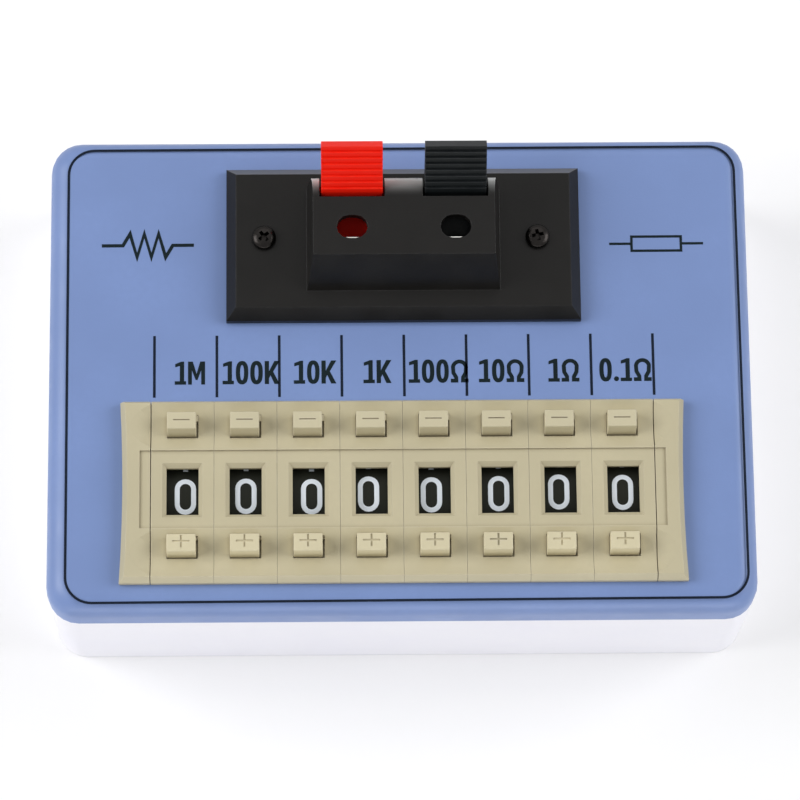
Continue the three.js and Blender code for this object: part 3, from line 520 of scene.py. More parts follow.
def plastic(name, colour, roughness, grain=0.35, relief=0.02, mottle=0.05, gloss=0.5,
            edge_wear_and_highlight=None, worn_share=0.3, corner_shade_and_dirt=None, corner_shade_share=0.4, corner_shade_reach=0.8,
            shade_dulled_hollows=False, soft_edge=0.0):
    """Moulded plastic: mottled colour, fine grain, paler edges (wear and a painted highlight) and darker
    corners (painted shade and dirt).
    """
    material, tree, shader, place = new_material(name)
    broad = add_range(tree, add_noise(tree, place, MOTTLE_SIZE), RISING)
    tint = add_mix(tree, broad, shaded(colour, 1 - mottle), shaded(colour, 1 + mottle))
    speck = add_range(tree, add_noise(tree, place, SPECK_SIZE, detail=6.0), (0.0, SPECK_SHARE))
    tint = add_mix(tree, speck, tint, shaded(colour, 1 - mottle))
    # Painted shade, with some dirt: a darker colour deep in corners and hollows
    if corner_shade_and_dirt:
        depth = add_product(tree, corner_shade_mask(tree, corner_shade_reach), corner_shade_share)
        tint = add_mix(tree, depth, tint, corner_shade_and_dirt)
    # Paler edges: partly wear, partly a painted highlight where edges catch the light
    if edge_wear_and_highlight:
        rub_range = (RUB_LEAST_SHARE * worn_share, worn_share)
        patchy = add_range(tree, add_noise(tree, place, RUB_SIZE), rub_range)
        tint = add_mix(tree, add_product(tree, edge_mask(tree), patchy), tint, edge_wear_and_highlight)
    tree.links.new(tint, shader.inputs["Base Color"])
    add_sheen(tree, shader, place, SHEEN_SIZE, roughness - SHEEN_SPREAD, roughness + SHEEN_SPREAD)
    shader.inputs["Specular IOR Level"].default_value = gloss
    # Painted shade on the shine: the gloss is turned down deep in hollows
    if shade_dulled_hollows:
        hollow = corner_shade_mask(tree, HOLLOW_REACH)
        dull = add_range(tree, hollow, (gloss, 0.0), (0.0, HOLLOW_FULL_SHARE))
        tree.links.new(dull, shader.inputs["Specular IOR Level"])
    add_relief(tree, shader, place, grain, relief, detail=2.0, soft_edge=soft_edge)
    return material


def metal(name, colour, roughness, brushed=0.3, relief=0.004):
    """Rolled or turned metal: fine lines, patches of tarnish and a soft shine."""
    material, tree, shader, place = new_material(name)
    shader.inputs["Metallic"].default_value = 1.0
    patch = add_range(tree, add_noise(tree, place, TARNISH_SIZE), RISING)
    tint = add_mix(tree, patch, shaded(colour, TARNISH_SHARE), colour)
    tree.links.new(tint, shader.inputs["Base Color"])
    add_sheen(tree, shader, place, METAL_SHEEN_SIZE,
              roughness - METAL_SHEEN_LESS, roughness + METAL_SHEEN_MORE)
    add_relief(tree, shader, place, brushed, relief, detail=1.0)
    return material


def add_painted_back_highlight(material, node):
    """Painted highlight: grey painted on the plate's back bevel and on the round at the block's back,
    where they reflect the light.
    """
    low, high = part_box(node)
    round_start = (low.y + high.y) / 2 + ROUND_START * MM
    round_full = round_start + ROUND_FULL_SHARE * ROUND_RADIUS * MM
    round_low = high.z - ROUND_RADIUS * MM
    fade = ROUND_FADE * MM
    tree = material.node_tree
    base = tree.nodes["Principled BSDF"].inputs["Base Color"]
    facing = add_parts(tree, tree.nodes.new("ShaderNodeNewGeometry").outputs["Normal"])
    place = add_parts(tree, tree.nodes.new("ShaderNodeTexCoord").outputs["Object"])
    turned = add_range(tree, facing["Y"], RISING, BACK_TURNED_SHARES)
    leaning = add_range(tree, facing["Y"], FALLING, BACK_UPRIGHT_SHARES)
    below = add_range(tree, place["Z"], FALLING, (round_low - fade, round_low))
    above = add_range(tree, place["Z"], RISING, (round_low, round_low + fade))
    across = add_range(tree, place["Y"], RISING, (round_start, round_full))
    # Painted highlight: grey on the back bevel, and a paler grey on the block's round
    tint = add_mix(tree, add_product(tree, turned, leaning, below), base.links[0].from_socket, BEVEL_PAINTED_HIGHLIGHT)
    round_highlight_share = add_product(tree, across, across, turned, above)
    tree.links.new(add_mix(tree, round_highlight_share, tint, ROUND_PAINTED_HIGHLIGHT), base)


def cap_plastic(name, colour, edge_wear_and_highlight):
    """The buttons' plastic, with painted shade and some dirt where a cap meets its slot."""
    return plastic(name, colour, 0.42, grain=0.3, relief=0.01, mottle=0.035, gloss=0.4, edge_wear_and_highlight=edge_wear_and_highlight,
                   worn_share=0.5, corner_shade_and_dirt=(0.26, 0.20, 0.11), corner_shade_share=0.4, corner_shade_reach=0.6)


def mark_shade(name, colour):
    """Painted shade in the floor of a sunk mark."""
    return plastic(name, colour, 0.7, grain=0.2, relief=0.02, mottle=0.2)


def ink(name, colour):
    """Screen-printed ink, a little uneven."""
    return plastic(name, colour, 0.6, grain=0.25, relief=0.008, mottle=0.18, gloss=0.12)


# Materials of the pieces
# The worn colours below are paler edges, partly wear and partly a painted highlight
blue_plastic = plastic("blue_plastic", (0.189, 0.277, 0.545), 0.42, grain=0.32, relief=0.012,
                       mottle=0.045, gloss=0.45, edge_wear_and_highlight=(0.36, 0.45, 0.70), worn_share=0.35)
# The soiled colours below are painted shade with some dirt, in corners, joints and hollows
white_plastic = plastic("white_plastic", (0.93, 0.925, 1.0), 0.38, grain=0.4, relief=0.01,
                        mottle=0.02, edge_wear_and_highlight=(0.92, 0.92, 0.97), worn_share=0.3,
                        corner_shade_and_dirt=(0.5, 0.5, 0.52), corner_shade_share=0.3)
beige_plastic = plastic("beige_plastic", (0.545, 0.49, 0.33), 0.45, grain=0.3, relief=0.01,
                        mottle=0.04, gloss=0.4, edge_wear_and_highlight=(0.70, 0.65, 0.52), worn_share=0.4,
                        corner_shade_and_dirt=(0.17, 0.125, 0.07), corner_shade_share=0.6, corner_shade_reach=0.7)
button_plastic = cap_plastic("button_plastic", (0.59, 0.535, 0.365), (0.76, 0.72, 0.60))
# The plus caps' plastic is the button colour painted paler, to make up for light that the plus caps get
# less of
plus_plastic_painted_paler = cap_plastic("plus_plastic_painted_paler", (0.665, 0.60, 0.405), (0.80, 0.76, 0.64))
# Floors of the sunk marks, painted darker as shade
minus_mark_shade = mark_shade("minus_mark_shade", (0.35, 0.30, 0.20))
plus_mark_shade = mark_shade("plus_mark_shade", (0.53, 0.47, 0.31))
black_plastic = plastic("black_plastic", (0.0082, 0.0076, 0.0070), 0.34, grain=0.28, relief=0.014,
                        mottle=0.12, gloss=0.18, edge_wear_and_highlight=(0.06, 0.06, 0.06), worn_share=0.3, soft_edge=0.18)
# A painted highlight goes onto the black plastic at the terminal's back
add_painted_back_highlight(black_plastic, "terminal_body")
red_plastic = plastic("red_plastic", (0.92, 0.014, 0.004), 0.4, grain=0.35, relief=0.01,
                      mottle=0.04, gloss=0.16, edge_wear_and_highlight=(0.95, 0.10, 0.05), worn_share=0.35,
                      corner_shade_and_dirt=(0.50, 0.004, 0.002), corner_shade_share=0.5, corner_shade_reach=0.6, shade_dulled_hollows=True)
black_lever = plastic("black_lever", (0.009, 0.011, 0.012), 0.4, grain=0.35, relief=0.01,
                      mottle=0.1, gloss=0.2, edge_wear_and_highlight=(0.06, 0.065, 0.07), worn_share=0.4, shade_dulled_hollows=True)
wheel_plastic = plastic("wheel_plastic", (0.011, 0.012, 0.008), 0.55, grain=0.3, relief=0.012,
                        mottle=0.15, gloss=0.15)
numeral_paint = plastic("numeral_paint", (0.80, 0.86, 0.93), 0.5, grain=0.22, relief=0.01,
                        mottle=0.06, gloss=0.3)
spring_metal = metal("spring_metal", (0.80, 0.79, 0.75), 0.22)
rod_steel = metal("rod_steel", (0.62, 0.63, 0.64), 0.28)
black_screw = metal("black_screw", (0.022, 0.020, 0.019), 0.22, brushed=0.2, relief=0.01)
board_green = plastic("board_green", (0.028, 0.15, 0.055), 0.35, grain=0.5, relief=0.03,
                      mottle=0.12, edge_wear_and_highlight=(0.45, 0.42, 0.25), worn_share=0.8)
red_insulation = plastic("red_insulation", (0.50, 0.02, 0.012), 0.35, mottle=0.06)
black_insulation = plastic("black_insulation", (0.013, 0.013, 0.014), 0.35, mottle=0.1)
print_ink = ink("print_ink", (0.005, 0.010, 0.022))
value_ink = ink("value_ink", (0.004, 0.011, 0.014))


# Finish of the pieces: rounded edges and smooth shading
def add_shading(group, domain, smooth):
    """A step that shades all faces, or the chosen edges, smooth or sharp."""
    node = group.nodes.new("GeometryNodeSetShadeSmooth")
    node.domain = domain
    node.inputs["Shade Smooth"].default_value = smooth
    return node


def smoothing_group():
    """Shades all faces smooth, but not the edges where faces meet at a sharp angle."""
    group = bpy.data.node_groups.new("smooth_by_angle", "GeometryNodeTree")
    for way in ("INPUT", "OUTPUT"):
        group.interface.new_socket(name="Geometry", in_out=way, socket_type="NodeSocketGeometry")
    start = group.nodes.new("NodeGroupInput")
    end = group.nodes.new("NodeGroupOutput")
    faces = add_shading(group, "FACE", True)
    edges = add_shading(group, "EDGE", False)
    angle = group.nodes.new("GeometryNodeInputMeshEdgeAngle")
    sharp = group.nodes.new("FunctionNodeCompare")
    sharp.data_type = "FLOAT"
    sharp.operation = "GREATER_THAN"
    sharp.inputs["B"].default_value = math.radians(SHARP_ANGLE)
    group.links.new(start.outputs[0], faces.inputs["Geometry"])
    group.links.new(faces.outputs[0], edges.inputs["Geometry"])
    group.links.new(angle.outputs["Unsigned Angle"], sharp.inputs["A"])
    group.links.new(sharp.outputs["Result"], edges.inputs["Selection"])
    group.links.new(edges.outputs[0], end.inputs[0])
    return group


SMOOTHING = smoothing_group()


def finish_edges(obj, width=0.0):
    """Gives a piece smooth shading, and rounds its edges where a width is given."""
    if width:
        weld = obj.modifiers.new("weld", "WELD")
        weld.merge_threshold = WELD_DISTANCE * MM
        planar = obj.modifiers.new("planar", "DECIMATE")
        planar.decimate_type = "DISSOLVE"
        planar.angle_limit = math.radians(FLAT_ANGLE)
        rounding = obj.modifiers.new("rounding", "BEVEL")
        rounding.width = width * MM
        rounding.segments = EDGE_SEGMENTS
        rounding.limit_method = "ANGLE"
        rounding.angle_limit = math.radians(SHARP_ANGLE)
        rounding.use_clamp_overlap = True
    smooth = obj.modifiers.new("smooth", "NODES")
    smooth.node_group = SMOOTHING
    even = obj.modifiers.new("even_shading", "WEIGHTED_NORMAL")
    even.keep_sharp = True


def dress(node, material, width=0.0):
    obj = nodes[node]
    obj.data.materials.clear()
    obj.data.materials.append(material)
    finish_edges(obj, width)


def dress_frame_pieces():
    dress("upper_lid", blue_plastic, EDGE_CASE)
    dress("lower_housing", white_plastic, EDGE_CASE)
    dress("terminal_body", black_plastic)
    dress("red_lever", red_plastic, EDGE_LEVER)
    dress("black_lever", black_lever, EDGE_LEVER)
    dress("red_wire", red_insulation)
    dress("black_wire", black_insulation)
    dress("resistor_board", board_green, EDGE_SMALL)
    for colour in ("red", "black"):
        dress(f"{colour}_contact", spring_metal, EDGE_SMALL)
    for side in ("left", "right"):
        dress(f"end_plate_{side}", beige_plastic, EDGE_END_PLATE)
    for number in MODULES:
        dress(f"switch_frame_{number}", beige_plastic, EDGE_BANK)
        dress(f"contact_board_{number}", board_green, EDGE_SMALL)
    for end in ("front", "back"):
        dress(f"tie_rod_{end}", rod_steel, EDGE_SMALL)
    for number in range(1, LID_SCREW_COUNT + 1):
        dress(f"lid_screw_{number}", rod_steel, EDGE_SMALL)


# Mesh pieces
def add_piece(name, work, materials, body, node=None):
    """A finished mesh as an object that rides on a body and may stand for a node."""
    mesh = bpy.data.meshes.new(name)
    work.to_mesh(mesh)
    work.free()
    for material in materials:
        mesh.materials.append(material)
    obj = new_object(name, mesh)
    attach(obj, body)
    if node:
        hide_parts(node)
    return obj


def join_rings(work, rings):
    """Skins a row of rings, each of them a closed loop of the same number of points."""
    for one, two in zip(rings, rings[1:]):
        for index in range(len(one)):
            after = (index + 1) % len(one)
            work.faces.new((one[index], one[after], two[after], two[index]))


def cap_ends(work, rings):
    work.faces.new(list(reversed(rings[0])))
    work.faces.new(rings[-1])


def cut_out(obj, work):
    """Cuts a solid out of a piece."""
    mesh = bpy.data.meshes.new("cutter")
    work.to_mesh(mesh)
    work.free()
    cutter = new_object("cutter", mesh)
    cutting = obj.modifiers.new("cutting", "BOOLEAN")
    cutting.operation = "DIFFERENCE"
    cutting.solver = "EXACT"
    cutting.object = cutter
    bpy.context.view_layer.update()
    done = bpy.data.meshes.new_from_object(obj.evaluated_get(bpy.context.evaluated_depsgraph_get()))
    obj.modifiers.clear()
    whole = obj.data
    obj.data = done
    bpy.data.meshes.remove(whole)
    bpy.data.objects.remove(cutter)
    bpy.data.meshes.remove(mesh)


# Strokes: a path is a list of points, and a strip is the band that a stroke covers
def arc(centre, radius, start, end, steps=10, squeeze=1.0):
    """Points on a round or flattened arc, with angles in degrees."""
    points = []
    for step in range(steps + 1):
        angle = math.radians(start + (end - start) * step / steps)
        across = radius * squeeze * math.cos(angle)
        up = radius * math.sin(angle)
        points.append((centre[0] + across, centre[1] + up))
    return points


def rails(path, width, closed):
    """The two edges of a stroke along a path, with mitred corners."""
    left = []
    right = []
    count = len(path)
    for index, point in enumerate(path):
        before = path[index - 1] if index or closed else None
        after = path[(index + 1) % count] if index < count - 1 or closed else None
        ways = []
        if before is not None:
            ways.append((Vector(point) - Vector(before)).normalized())
        if after is not None:
            ways.append((Vector(after) - Vector(point)).normalized())
        normals = [Vector((-way.y, way.x)) for way in ways]
        middle = (normals[0] + normals[-1]).normalized()
        reach = width / 2 / max(MITRE_LEAST_COSINE, middle.dot(normals[0]))
        left.append((point[0] + middle.x * reach, point[1] + middle.y * reach))
        right.append((point[0] - middle.x * reach, point[1] - middle.y * reach))
    return left, right


def add_strip(work, path, width, place, closed=False):
    """A thin band along a path; place turns (across, up, level) into a point."""
    rings = []
    for first, second in zip(*rails(path, width, closed)):
        corners = ((first, 1), (second, 1), (second, 0), (first, 0))
        rings.append([work.verts.new(place(*point, level)) for point, level in corners])
    if closed:
        join_rings(work, rings + rings[:1])
    else:
        join_rings(work, rings)
        cap_ends(work, rings)


def add_slab(work, outline, place):
    """A thin plate of any outline, given anticlockwise."""
    rings = [[work.verts.new(place(*point, level)) for point in outline] for level in (0, 1)]
    join_rings(work, rings)
    cap_ends(work, rings)


def finer(path, closed):
    """The same path with points close enough to bend round the wheel."""
    result = []
    ends = list(zip(path, path[1:]))
    if closed:
        ends.append((path[-1], path[0]))
    for first, second in ends:
        span = (Vector(second) - Vector(first)).length
        if span < SAME_PLACE:
            continue
        count = max(1, math.ceil(span / NUMERAL_POINT_GAP))
        for index in range(count):
            share = index / count
            result.append((
                first[0] + (second[0] - first[0]) * share,
                first[1] + (second[1] - first[1]) * share))
    if not closed:
        result.append(path[-1])
    return result


# Print on the lid
def on_lid(centre):
    """Places on the lid's top face, turned a little as the print is."""
    def place(across, up, level):
        x = centre[0] + across * math.cos(PRINT_TURN) - up * math.sin(PRINT_TURN)
        y = centre[1] + across * math.sin(PRINT_TURN) + up * math.cos(PRINT_TURN)
        return Vector((x, y, LID_TOP + INK_THICKNESS * level)) * MM
    return place


def letter_width(letter):
    if letter in LETTER_CORNER_SHARES:
        return VALUE_HEIGHT * max(corner[0] for corner in LETTER_CORNER_SHARES[letter])
    return VALUE_HEIGHT * LETTER_WIDTH_SHARES[letter]


def straight_letter(work, letter, place):
    outline = []
    for across, across_strokes, up, up_strokes in LETTER_CORNER_SHARES[letter]:
        outline.append((
            across * VALUE_HEIGHT + across_strokes * VALUE_STROKE,
            up * VALUE_HEIGHT + up_strokes * VALUE_STROKE))
    add_slab(work, outline, place)


def letter_nought(work, place):
    """A nought between an ellipse and a rectangle."""
    def squared(value):
        return math.copysign(abs(value) ** NOUGHT_POWER, value)

    half_width = (letter_width("0") - VALUE_STROKE) / 2
    half_height = (VALUE_HEIGHT * NOUGHT_HEIGHT_SHARE - VALUE_STROKE) / 2
    middle = (half_width + VALUE_STROKE / 2, VALUE_HEIGHT / 2)
    path = []
    for step in range(NOUGHT_STEPS):
        angle = 2 * math.pi * step / NOUGHT_STEPS
        across = half_width * squared(math.cos(angle))
        up = half_height * squared(math.sin(angle))
        path.append((middle[0] + across, middle[1] + up))
    add_strip(work, path, VALUE_STROKE, place, closed=True)


def letter_omega(work, place):
    width = letter_width("O")
    radius = (width - VALUE_STROKE) / 2 * OMEGA_BOWL_SHARE
    bowl = (width / 2, VALUE_HEIGHT - VALUE_STROKE / 2 - radius)
    foot = VALUE_STROKE * OMEGA_FOOT_SHARE
    neck_share, neck_rise_share = OMEGA_NECK_SHARES
    throat_share, throat_rise_share = OMEGA_THROAT_SHARES
    left = [
        (0.0, foot), (VALUE_HEIGHT * OMEGA_FOOT_END_SHARE, foot),
        (VALUE_HEIGHT * neck_share, VALUE_HEIGHT * neck_rise_share),
        (bowl[0] - radius * throat_share, VALUE_HEIGHT * throat_rise_share)]
    right = [(width - across, up) for across, up in reversed(left)]
    path = left + arc(bowl, radius, 170, 10, 16) + right
    add_strip(work, path, VALUE_STROKE * OMEGA_STROKE_SHARE, place)


def letter_point(work, place):
    radius = VALUE_STROKE * POINT_SHARE
    add_slab(work, arc((radius, radius), radius, 0, 330, 11), place)


ROUND_LETTERS = {"0": letter_nought, "O": letter_omega, ".": letter_point}


def add_value(index, text, left):
    work = bmesh.new()
    across = left
    for letter in text:
        place = on_lid((across, VALUE_BASE + PRINT_TURN * (across - OUTLINE_CENTRE[0])))
        if letter in ROUND_LETTERS:
            ROUND_LETTERS[letter](work, place)
        else:
            straight_letter(work, letter, place)
        across += letter_width(letter) + VALUE_GAP
    add_piece(f"decade_value_{index}", work, [value_ink], "case")


def add_outline():
    work = bmesh.new()
    half_x = OUTLINE_SIZE[0] / 2 - OUTLINE_RADIUS
    half_y = OUTLINE_SIZE[1] / 2 - OUTLINE_RADIUS
    corners = ((half_x, half_y), (-half_x, half_y), (-half_x, -half_y), (half_x, -half_y))
    path = []
    for turn, corner in enumerate(corners):
        path += arc(corner, OUTLINE_RADIUS, 90 * turn, 90 * turn + 90, OUTLINE_CORNER_STEPS)
    add_strip(work, path, OUTLINE_STROKE, on_lid(OUTLINE_CENTRE), closed=True)
    add_piece("printed_outline", work, [print_ink], "case")


def add_ticks():
    work = bmesh.new()
    for index in range(MODULE_COUNT + 1):
        place = on_lid((TICK_FIRST + index * TICK_PITCH, 0))
        add_strip(work, [(0, TICK_LOW), (0, TICK_HIGH)], TICK_WIDTH, place)
    add_piece("printed_ticks", work, [print_ink], "case")


def add_zigzag():
    """The zigzag of a circuit diagram's resistor, with its two leads."""
    work = bmesh.new()
    half = (ZIGZAG_TURNS + 1) * ZIGZAG_STEP / 2
    path = [(-half - SYMBOL_LEAD, 0), (-half, 0)]
    for index in range(ZIGZAG_TURNS):
        side = 1 if index % 2 == 0 else -1
        path.append(((index + 1) * ZIGZAG_STEP - half, side * ZIGZAG_HEIGHT))
    path += [(half, 0), (half + SYMBOL_LEAD, 0)]
    add_strip(work, path, SYMBOL_STROKE, on_lid(SYMBOL_LEFT))
    add_piece("printed_zigzag", work, [value_ink], "case")


def add_resistor_sign():
    """The plain box of a circuit diagram's resistor, with its two leads."""
    work = bmesh.new()
    place = on_lid(SYMBOL_RIGHT)
    stroke = SYMBOL_STROKE * RESISTOR_STROKE_SHARE
    length = RESISTOR_HALF_LENGTH
    height = RESISTOR_HALF_HEIGHT
    corners = [(-length, -height), (length, -height), (length, height), (-length, height)]
    add_strip(work, corners, stroke, place, closed=True)
    for side in (-1, 1):
        start = side * (length + stroke / 2)
        add_strip(work, [(start, 0), (start + side * SYMBOL_LEAD, 0)], stroke, place)
    add_piece("printed_resistor", work, [value_ink], "case")


# Digit wheels
def wheel_place(number):
    """Places on a wheel: along its axle, out from it, and round it from the top."""
    low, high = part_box(f"digit_wheel_{number}")
    centre_x, centre_y = module_centre(number)
    centre_z = (low.z + high.z) / 2 / MM

    def at(across, radius, angle):
        y = centre_y + radius * math.sin(angle)
        z = centre_z + radius * math.cos(angle)
        return Vector((centre_x + across, y, z)) * MM

    return at


def wheel_profile():
    """The wheel's section as (radius, across), round the hub, the web and the rim."""
    floor = WHEEL_RIM_HIGH - WHEEL_WEB
    inner = WHEEL_RADIUS - WHEEL_RIM_THICKNESS
    edge = WHEEL_RIM_CHAMFER
    return [
        (WHEEL_BORE, WHEEL_HUB_LOW), (WHEEL_HUB_RADIUS, WHEEL_HUB_LOW), (WHEEL_HUB_RADIUS, floor),
        (inner, floor), (inner, WHEEL_RIM_LOW + edge), (inner + edge, WHEEL_RIM_LOW),
        (WHEEL_RADIUS - edge, WHEEL_RIM_LOW), (WHEEL_RADIUS, WHEEL_RIM_LOW + edge),
        (WHEEL_RADIUS, WHEEL_RIM_HIGH - edge), (WHEEL_RADIUS - edge, WHEEL_RIM_HIGH),
        (WHEEL_HUB_RADIUS, WHEEL_RIM_HIGH), (WHEEL_HUB_RADIUS, WHEEL_HUB_HIGH),
        (WHEEL_BORE, WHEEL_HUB_HIGH)]


def add_drum(work, at):
    rings = []
    for step in range(WHEEL_STEPS):
        angle = 2 * math.pi * step / WHEEL_STEPS
        rings.append([work.verts.new(at(across, radius, angle)) for radius, across in wheel_profile()])
    join_rings(work, rings + rings[:1])


def add_ratchet(work, at):
    """Ten teeth round the hub, each with a slow rise and a steep fall."""
    rings = []
    for tooth in range(DIGIT_COUNT):
        for share, radius in ((0, RATCHET_RADIUS), (RATCHET_RISE_SHARE, RATCHET_RADIUS - RATCHET_DEPTH)):
            angle = math.pi / 2 - 2 * math.pi * (tooth + share) / DIGIT_COUNT
            section = (
                (RATCHET_LOW, radius), (RATCHET_HIGH, radius),
                (RATCHET_HIGH, WHEEL_HUB_RADIUS), (RATCHET_LOW, WHEEL_HUB_RADIUS))
            rings.append([work.verts.new(at(across, reach, angle)) for across, reach in section])
    join_rings(work, rings + rings[:1])


def numeral_paths():
    """Centre lines of the ten figures, each with whether it is closed, round-cornered as engraved."""
    wide = NUMERAL_HALF_WIDTH
    tall = NUMERAL_HALF_HEIGHT
    half_stroke = NUMERAL_STROKE / 2
    foot = -tall - half_stroke
    top = tall - wide
    waist_x = WAIST_SHARES[0] * wide
    waist_y = WAIST_SHARES[1] * tall
    upper_radius = (tall - waist_y) / 2
    lower_radius = (tall + waist_y) / 2

    def scaled(shares):
        return [(across * wide, up * tall) for across, up in shares]

    def dome(start, end):
        return arc((0, top), wide, start, end)

    def cup(start, end):
        return arc((0, -top), wide, start, end)

    def upper_bowl(start, end, steps, share):
        return arc((0, tall - upper_radius), upper_radius, start, end, steps, share * wide / upper_radius)

    def lower_bowl(start, end, steps):
        return arc((0, waist_y - lower_radius), lower_radius, start, end, steps, wide / lower_radius)

    nought = [(dome(0, 180) + cup(180, 360), True)]
    stem = [(0, foot + NUMERAL_FOOT), (0, tall + half_stroke)]
    flag = [(-half_stroke, ONE_FLAG_TOP_SHARE * tall)] + scaled([ONE_FLAG_SHARES])
    one = [(stem, False), (flag, False)]
    two = [(dome(170, -25) + scaled(TWO_FOOT_SHARES), False)]
    three_top = upper_bowl(155, -90, 14, UPPER_BOWL_SHARE)[:-1]
    three = [(three_top + [(waist_x, waist_y)] + lower_bowl(60, -155, 14), False)]
    four_bars = scaled(FOUR_SHARES)
    four = [([(four_bars[0][0], foot)] + four_bars, False)]
    five_middle = (0, FIVE_BOWL_RISE_SHARE * wide - top)
    five_bowl = arc(five_middle, wide * FIVE_BOWL_SHARE, 125, -160, 14)
    five = [(scaled(FIVE_HEAD_SHARES) + five_bowl, False)]
    six_loop = arc((0, SIX_LOOP_RISE_SHARE * wide - top), wide, 0, 150)[1:]
    six = [(dome(25, 180) + cup(180, 360) + six_loop, False)]
    seven = [(scaled(SEVEN_HEAD_SHARES) + [(SEVEN_FOOT_SHARE * wide, foot)], False)]
    eight = [
        (upper_bowl(0, 360, 22, UPPER_BOWL_SHARE * EIGHT_TOP_SHARE)[:-1], True),
        (lower_bowl(0, 360, 24)[:-1], True)]
    nine = [([(-x, -y) for x, y in path], closed) for path, closed in six]
    return [nought, one, two, three, four, five, six, seven, eight, nine]


def add_numerals(number, at):
    shift = NUMERAL_SHIFTS[number - 1]
    drop = NUMERAL_DROPS[number - 1]
    work = bmesh.new()
    for value, strokes in enumerate(numeral_paths()):
        turn = 2 * math.pi * value / DIGIT_COUNT - drop / WHEEL_RADIUS

        def place(across, up, level, turn=turn):
            radius = WHEEL_RADIUS - NUMERAL_EMBED + (NUMERAL_EMBED + NUMERAL_PROUD) * level
            return at(shift + across, radius, turn + up / WHEEL_RADIUS)

        for path, closed in strokes:
            add_strip(work, finer(path, closed), NUMERAL_STROKE, place, closed)
    bmesh.ops.recalc_face_normals(work, faces=work.faces)
    add_piece(f"wheel_numerals_{number}", work, [numeral_paint], f"digit_wheel_{number}")


def add_wheel(number):
    body = f"digit_wheel_{number}"
    at = wheel_place(number)
    work = bmesh.new()
    add_drum(work, at)
    add_ratchet(work, at)
    bmesh.ops.recalc_face_normals(work, faces=work.faces)
    wheel = add_piece(f"wheel_drum_{number}", work, [wheel_plastic], body, body)
    finish_edges(wheel)
    add_numerals(number, at)


# Buttons: the caps get rounded edges, a cut mark and a shoulder
def button_mesh(node):
    work = bmesh.new()
    work.from_mesh(nodes[node].data)
    bmesh.ops.remove_doubles(work, verts=work.verts, dist=WELD_DISTANCE * MM)
    bmesh.ops.dissolve_limit(
        work, angle_limit=math.radians(FLAT_ANGLE), verts=work.verts, edges=work.edges)
    foot = (LID_TOP + CAP_FOOT_RISE) * MM
    chosen = []
    for edge in work.edges:
        middle = (edge.verts[0].co.z + edge.verts[1].co.z) / 2
        if middle > foot and edge.is_manifold and edge.calc_face_angle() > math.radians(SHARP_ANGLE):
            chosen.append(edge)
    bmesh.ops.bevel(work, geom=chosen, offset=CAP_BEVEL * MM, segments=EDGE_SEGMENTS,
                    profile=CAP_BEVEL_PROFILE, affect="EDGES", clamp_overlap=True)
    return work


def add_box(work, centre, size):
    """A box given in millimetres by its centre and its size."""
    place = Matrix.Translation(Vector(centre) * MM)
    bmesh.ops.create_cube(work, size=1, matrix=place @ Matrix.Diagonal((*(Vector(size) * MM), 1)))


def cut_mark(obj, bars, top):
    """Sinks a mark's bars into the cap and gives the floor of the cut its own material, a darker colour of
    painted shade.
    """
    for centre, size in bars:
        work = bmesh.new()
        add_box(work, centre, size)
        cut_out(obj, work)
    lowest = top - MARK_DEPTH * MARK_REACH_SHARE
    for face in obj.data.polygons:
        x, y, z = face.center / MM
        inside = any(
            abs(x - centre[0]) < size[0] / 2 + MARK_SLACK and abs(y - centre[1]) < size[1] / 2 + MARK_SLACK
            for centre, size in bars)
        if inside and lowest < z < top - MARK_LIP:
            # The floor of the cut takes the painted shade
            face.material_index = 1


def add_shoulder(obj, side, back, depth):
    """A small block beside the cap's back corner, which fills the slot there."""
    work = bmesh.new()
    work.from_mesh(obj.data)
    centre = (side, back - depth / 2, LID_TOP + SHOULDER_RISE - SHOULDER_HEIGHT / 2)
    add_box(work, centre, (2 * SHOULDER_REACH, depth, SHOULDER_HEIGHT))
    work.to_mesh(obj.data)
    work.free()


def add_button(kind, number):
    node = f"{kind}_button_{number}"
    low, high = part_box(node)
    top = high.z / MM
    cap_x = module_centre(number)[0] + CAP_SHIFT
    cap_right = 2 * cap_x - low.x / MM - CAP_FLANGE
    if kind == "minus":
        finishes = [button_plastic, minus_mark_shade]
        back = high.y / MM - CAP_FLANGE
        mark = (cap_x, back - MINUS_MARK_FORWARD, top)
        sizes = [(MINUS_MARK_LENGTH, MINUS_MARK_WIDTH)]
    else:
        finishes = [plus_plastic_painted_paler, plus_mark_shade]
        front = low.y / MM + CAP_FLANGE
        back = front + PLUS_CAP_DEPTH
        mark = (cap_x, front + PLUS_MARK_BACK, top)
        sizes = [(PLUS_MARK_LENGTH, PLUS_MARK_WIDTH), (PLUS_MARK_WIDTH, PLUS_MARK_HEIGHT)]
    obj = add_piece(f"{kind}_cap_{number}", button_mesh(node), finishes, node, node)
    cut_mark(obj, [(mark, (*size, 2 * MARK_DEPTH)) for size in sizes], top)
    add_shoulder(obj, cap_right, back + SHOULDER_BACK, SHOULDER_DEPTHS[kind])
    finish_edges(obj)


# Screws of the terminal plate, with a domed head and a driver's cross
def screw_profile(head_radius, head_height):
    """The outline as (radius, height above the head's seat), without the middles of its ends."""
    shank = SCREW_SHANK_RADIUS
    dome_start = (1 - SCREW_DOME_SHARE) * head_height
    profile = [
        (shank * SCREW_TIP_SHARE, -SCREW_LENGTH), (shank, shank - SCREW_LENGTH), (shank, 0),
        (head_radius * SCREW_UNDER_SHARE, 0), (head_radius, head_height * SCREW_EDGE_SHARE)]
    for step in range(SCREW_DOME_STEPS):
        angle = math.pi / 2 * step / SCREW_DOME_STEPS
        radius = head_radius * math.cos(angle) ** SCREW_DOME_POWER
        profile.append((radius, dome_start + SCREW_DOME_SHARE * head_height * math.sin(angle)))
    return profile


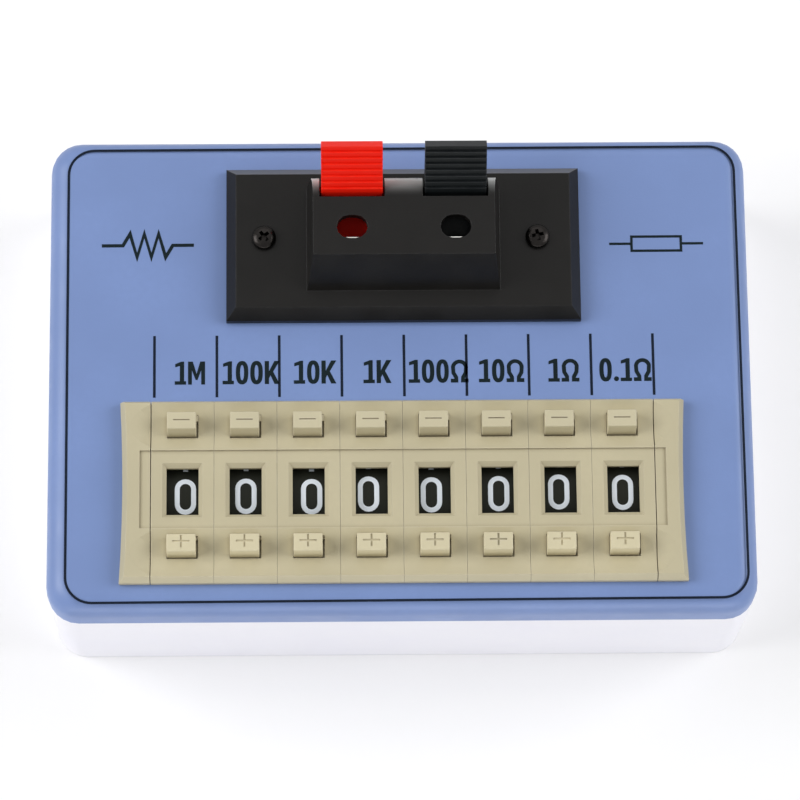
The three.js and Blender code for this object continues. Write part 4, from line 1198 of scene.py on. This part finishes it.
def screw_mesh(at, head_radius, head_height):
    work = bmesh.new()
    angles = [2 * math.pi * step / SCREW_STEPS for step in range(SCREW_STEPS)]
    rings = []
    for radius, height in screw_profile(head_radius, head_height):
        rings.append([work.verts.new(at(radius, angle, height)) for angle in angles])
    join_rings(work, rings)
    for ring, height in ((rings[0], -SCREW_LENGTH), (rings[-1], head_height)):
        middle = work.verts.new(at(0, 0, height))
        for index, vertex in enumerate(ring):
            work.faces.new((middle, ring[index - 1], vertex))
    bmesh.ops.recalc_face_normals(work, faces=work.faces)
    return work


def cross_bar(centre, degrees):
    """One bar of the driver's cross, which narrows towards its foot."""
    turn = Matrix.Rotation(math.radians(degrees), 3, "Z")
    levels = ((-SCREW_SLOT_DEPTH, SCREW_SLOT_TAPER_SHARE), (SCREW_SLOT_OVERRUN, SCREW_SLOT_MOUTH_SHARE))
    work = bmesh.new()
    rings = []
    for level, share in levels:
        width_share = SCREW_SLOT_STRAIGHT_SHARE + (1 - SCREW_SLOT_STRAIGHT_SHARE) * share
        reach = SCREW_SLOT_REACH * share
        half_width = SCREW_SLOT_WIDTH / 2 * width_share
        ring = []
        for side, end in ((-1, -1), (1, -1), (1, 1), (-1, 1)):
            corner = turn @ Vector((side * reach, end * half_width, level))
            ring.append(work.verts.new((corner + centre) * MM))
        rings.append(ring)
    join_rings(work, rings)
    cap_ends(work, rings)
    return work


def add_screw(side):
    node = f"terminal_screw_{side}"
    low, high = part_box(node)
    x = (low.x + high.x) / 2 / MM
    y = (low.y + high.y) / 2 / MM
    base = low.z / MM + SCREW_LENGTH
    head_radius = (high.x - low.x) / 2 / MM
    head_height = (high.z - low.z) / MM - SCREW_LENGTH

    def at(radius, angle, height):
        return Vector((x + radius * math.cos(angle), y + radius * math.sin(angle), base + height)) * MM

    work = screw_mesh(at, head_radius, head_height)
    obj = add_piece(f"plate_screw_{side}", work, [black_screw], "case", node)
    for quarter in (0, 90):
        cut_out(obj, cross_bar(Vector((x, y, base + head_height)), SCREW_TURNS[side] + quarter))
    finish_edges(obj)


add_camera()
add_world()
for lamp_name, lamp in LAMPS.items():
    add_lamp(lamp_name, *lamp)
add_floor()
dress_frame_pieces()
for number in MODULES:
    add_wheel(number)
    add_button("minus", number)
    add_button("plus", number)
for side in ("left", "right"):
    add_screw(side)
add_outline()
add_ticks()
add_zigzag()
add_resistor_sign()
for index, (text, left) in enumerate(VALUES, 1):
    add_value(index, text, left)

bpy.context.scene.view_settings.view_transform = "Standard"
bpy.context.view_layer.update()
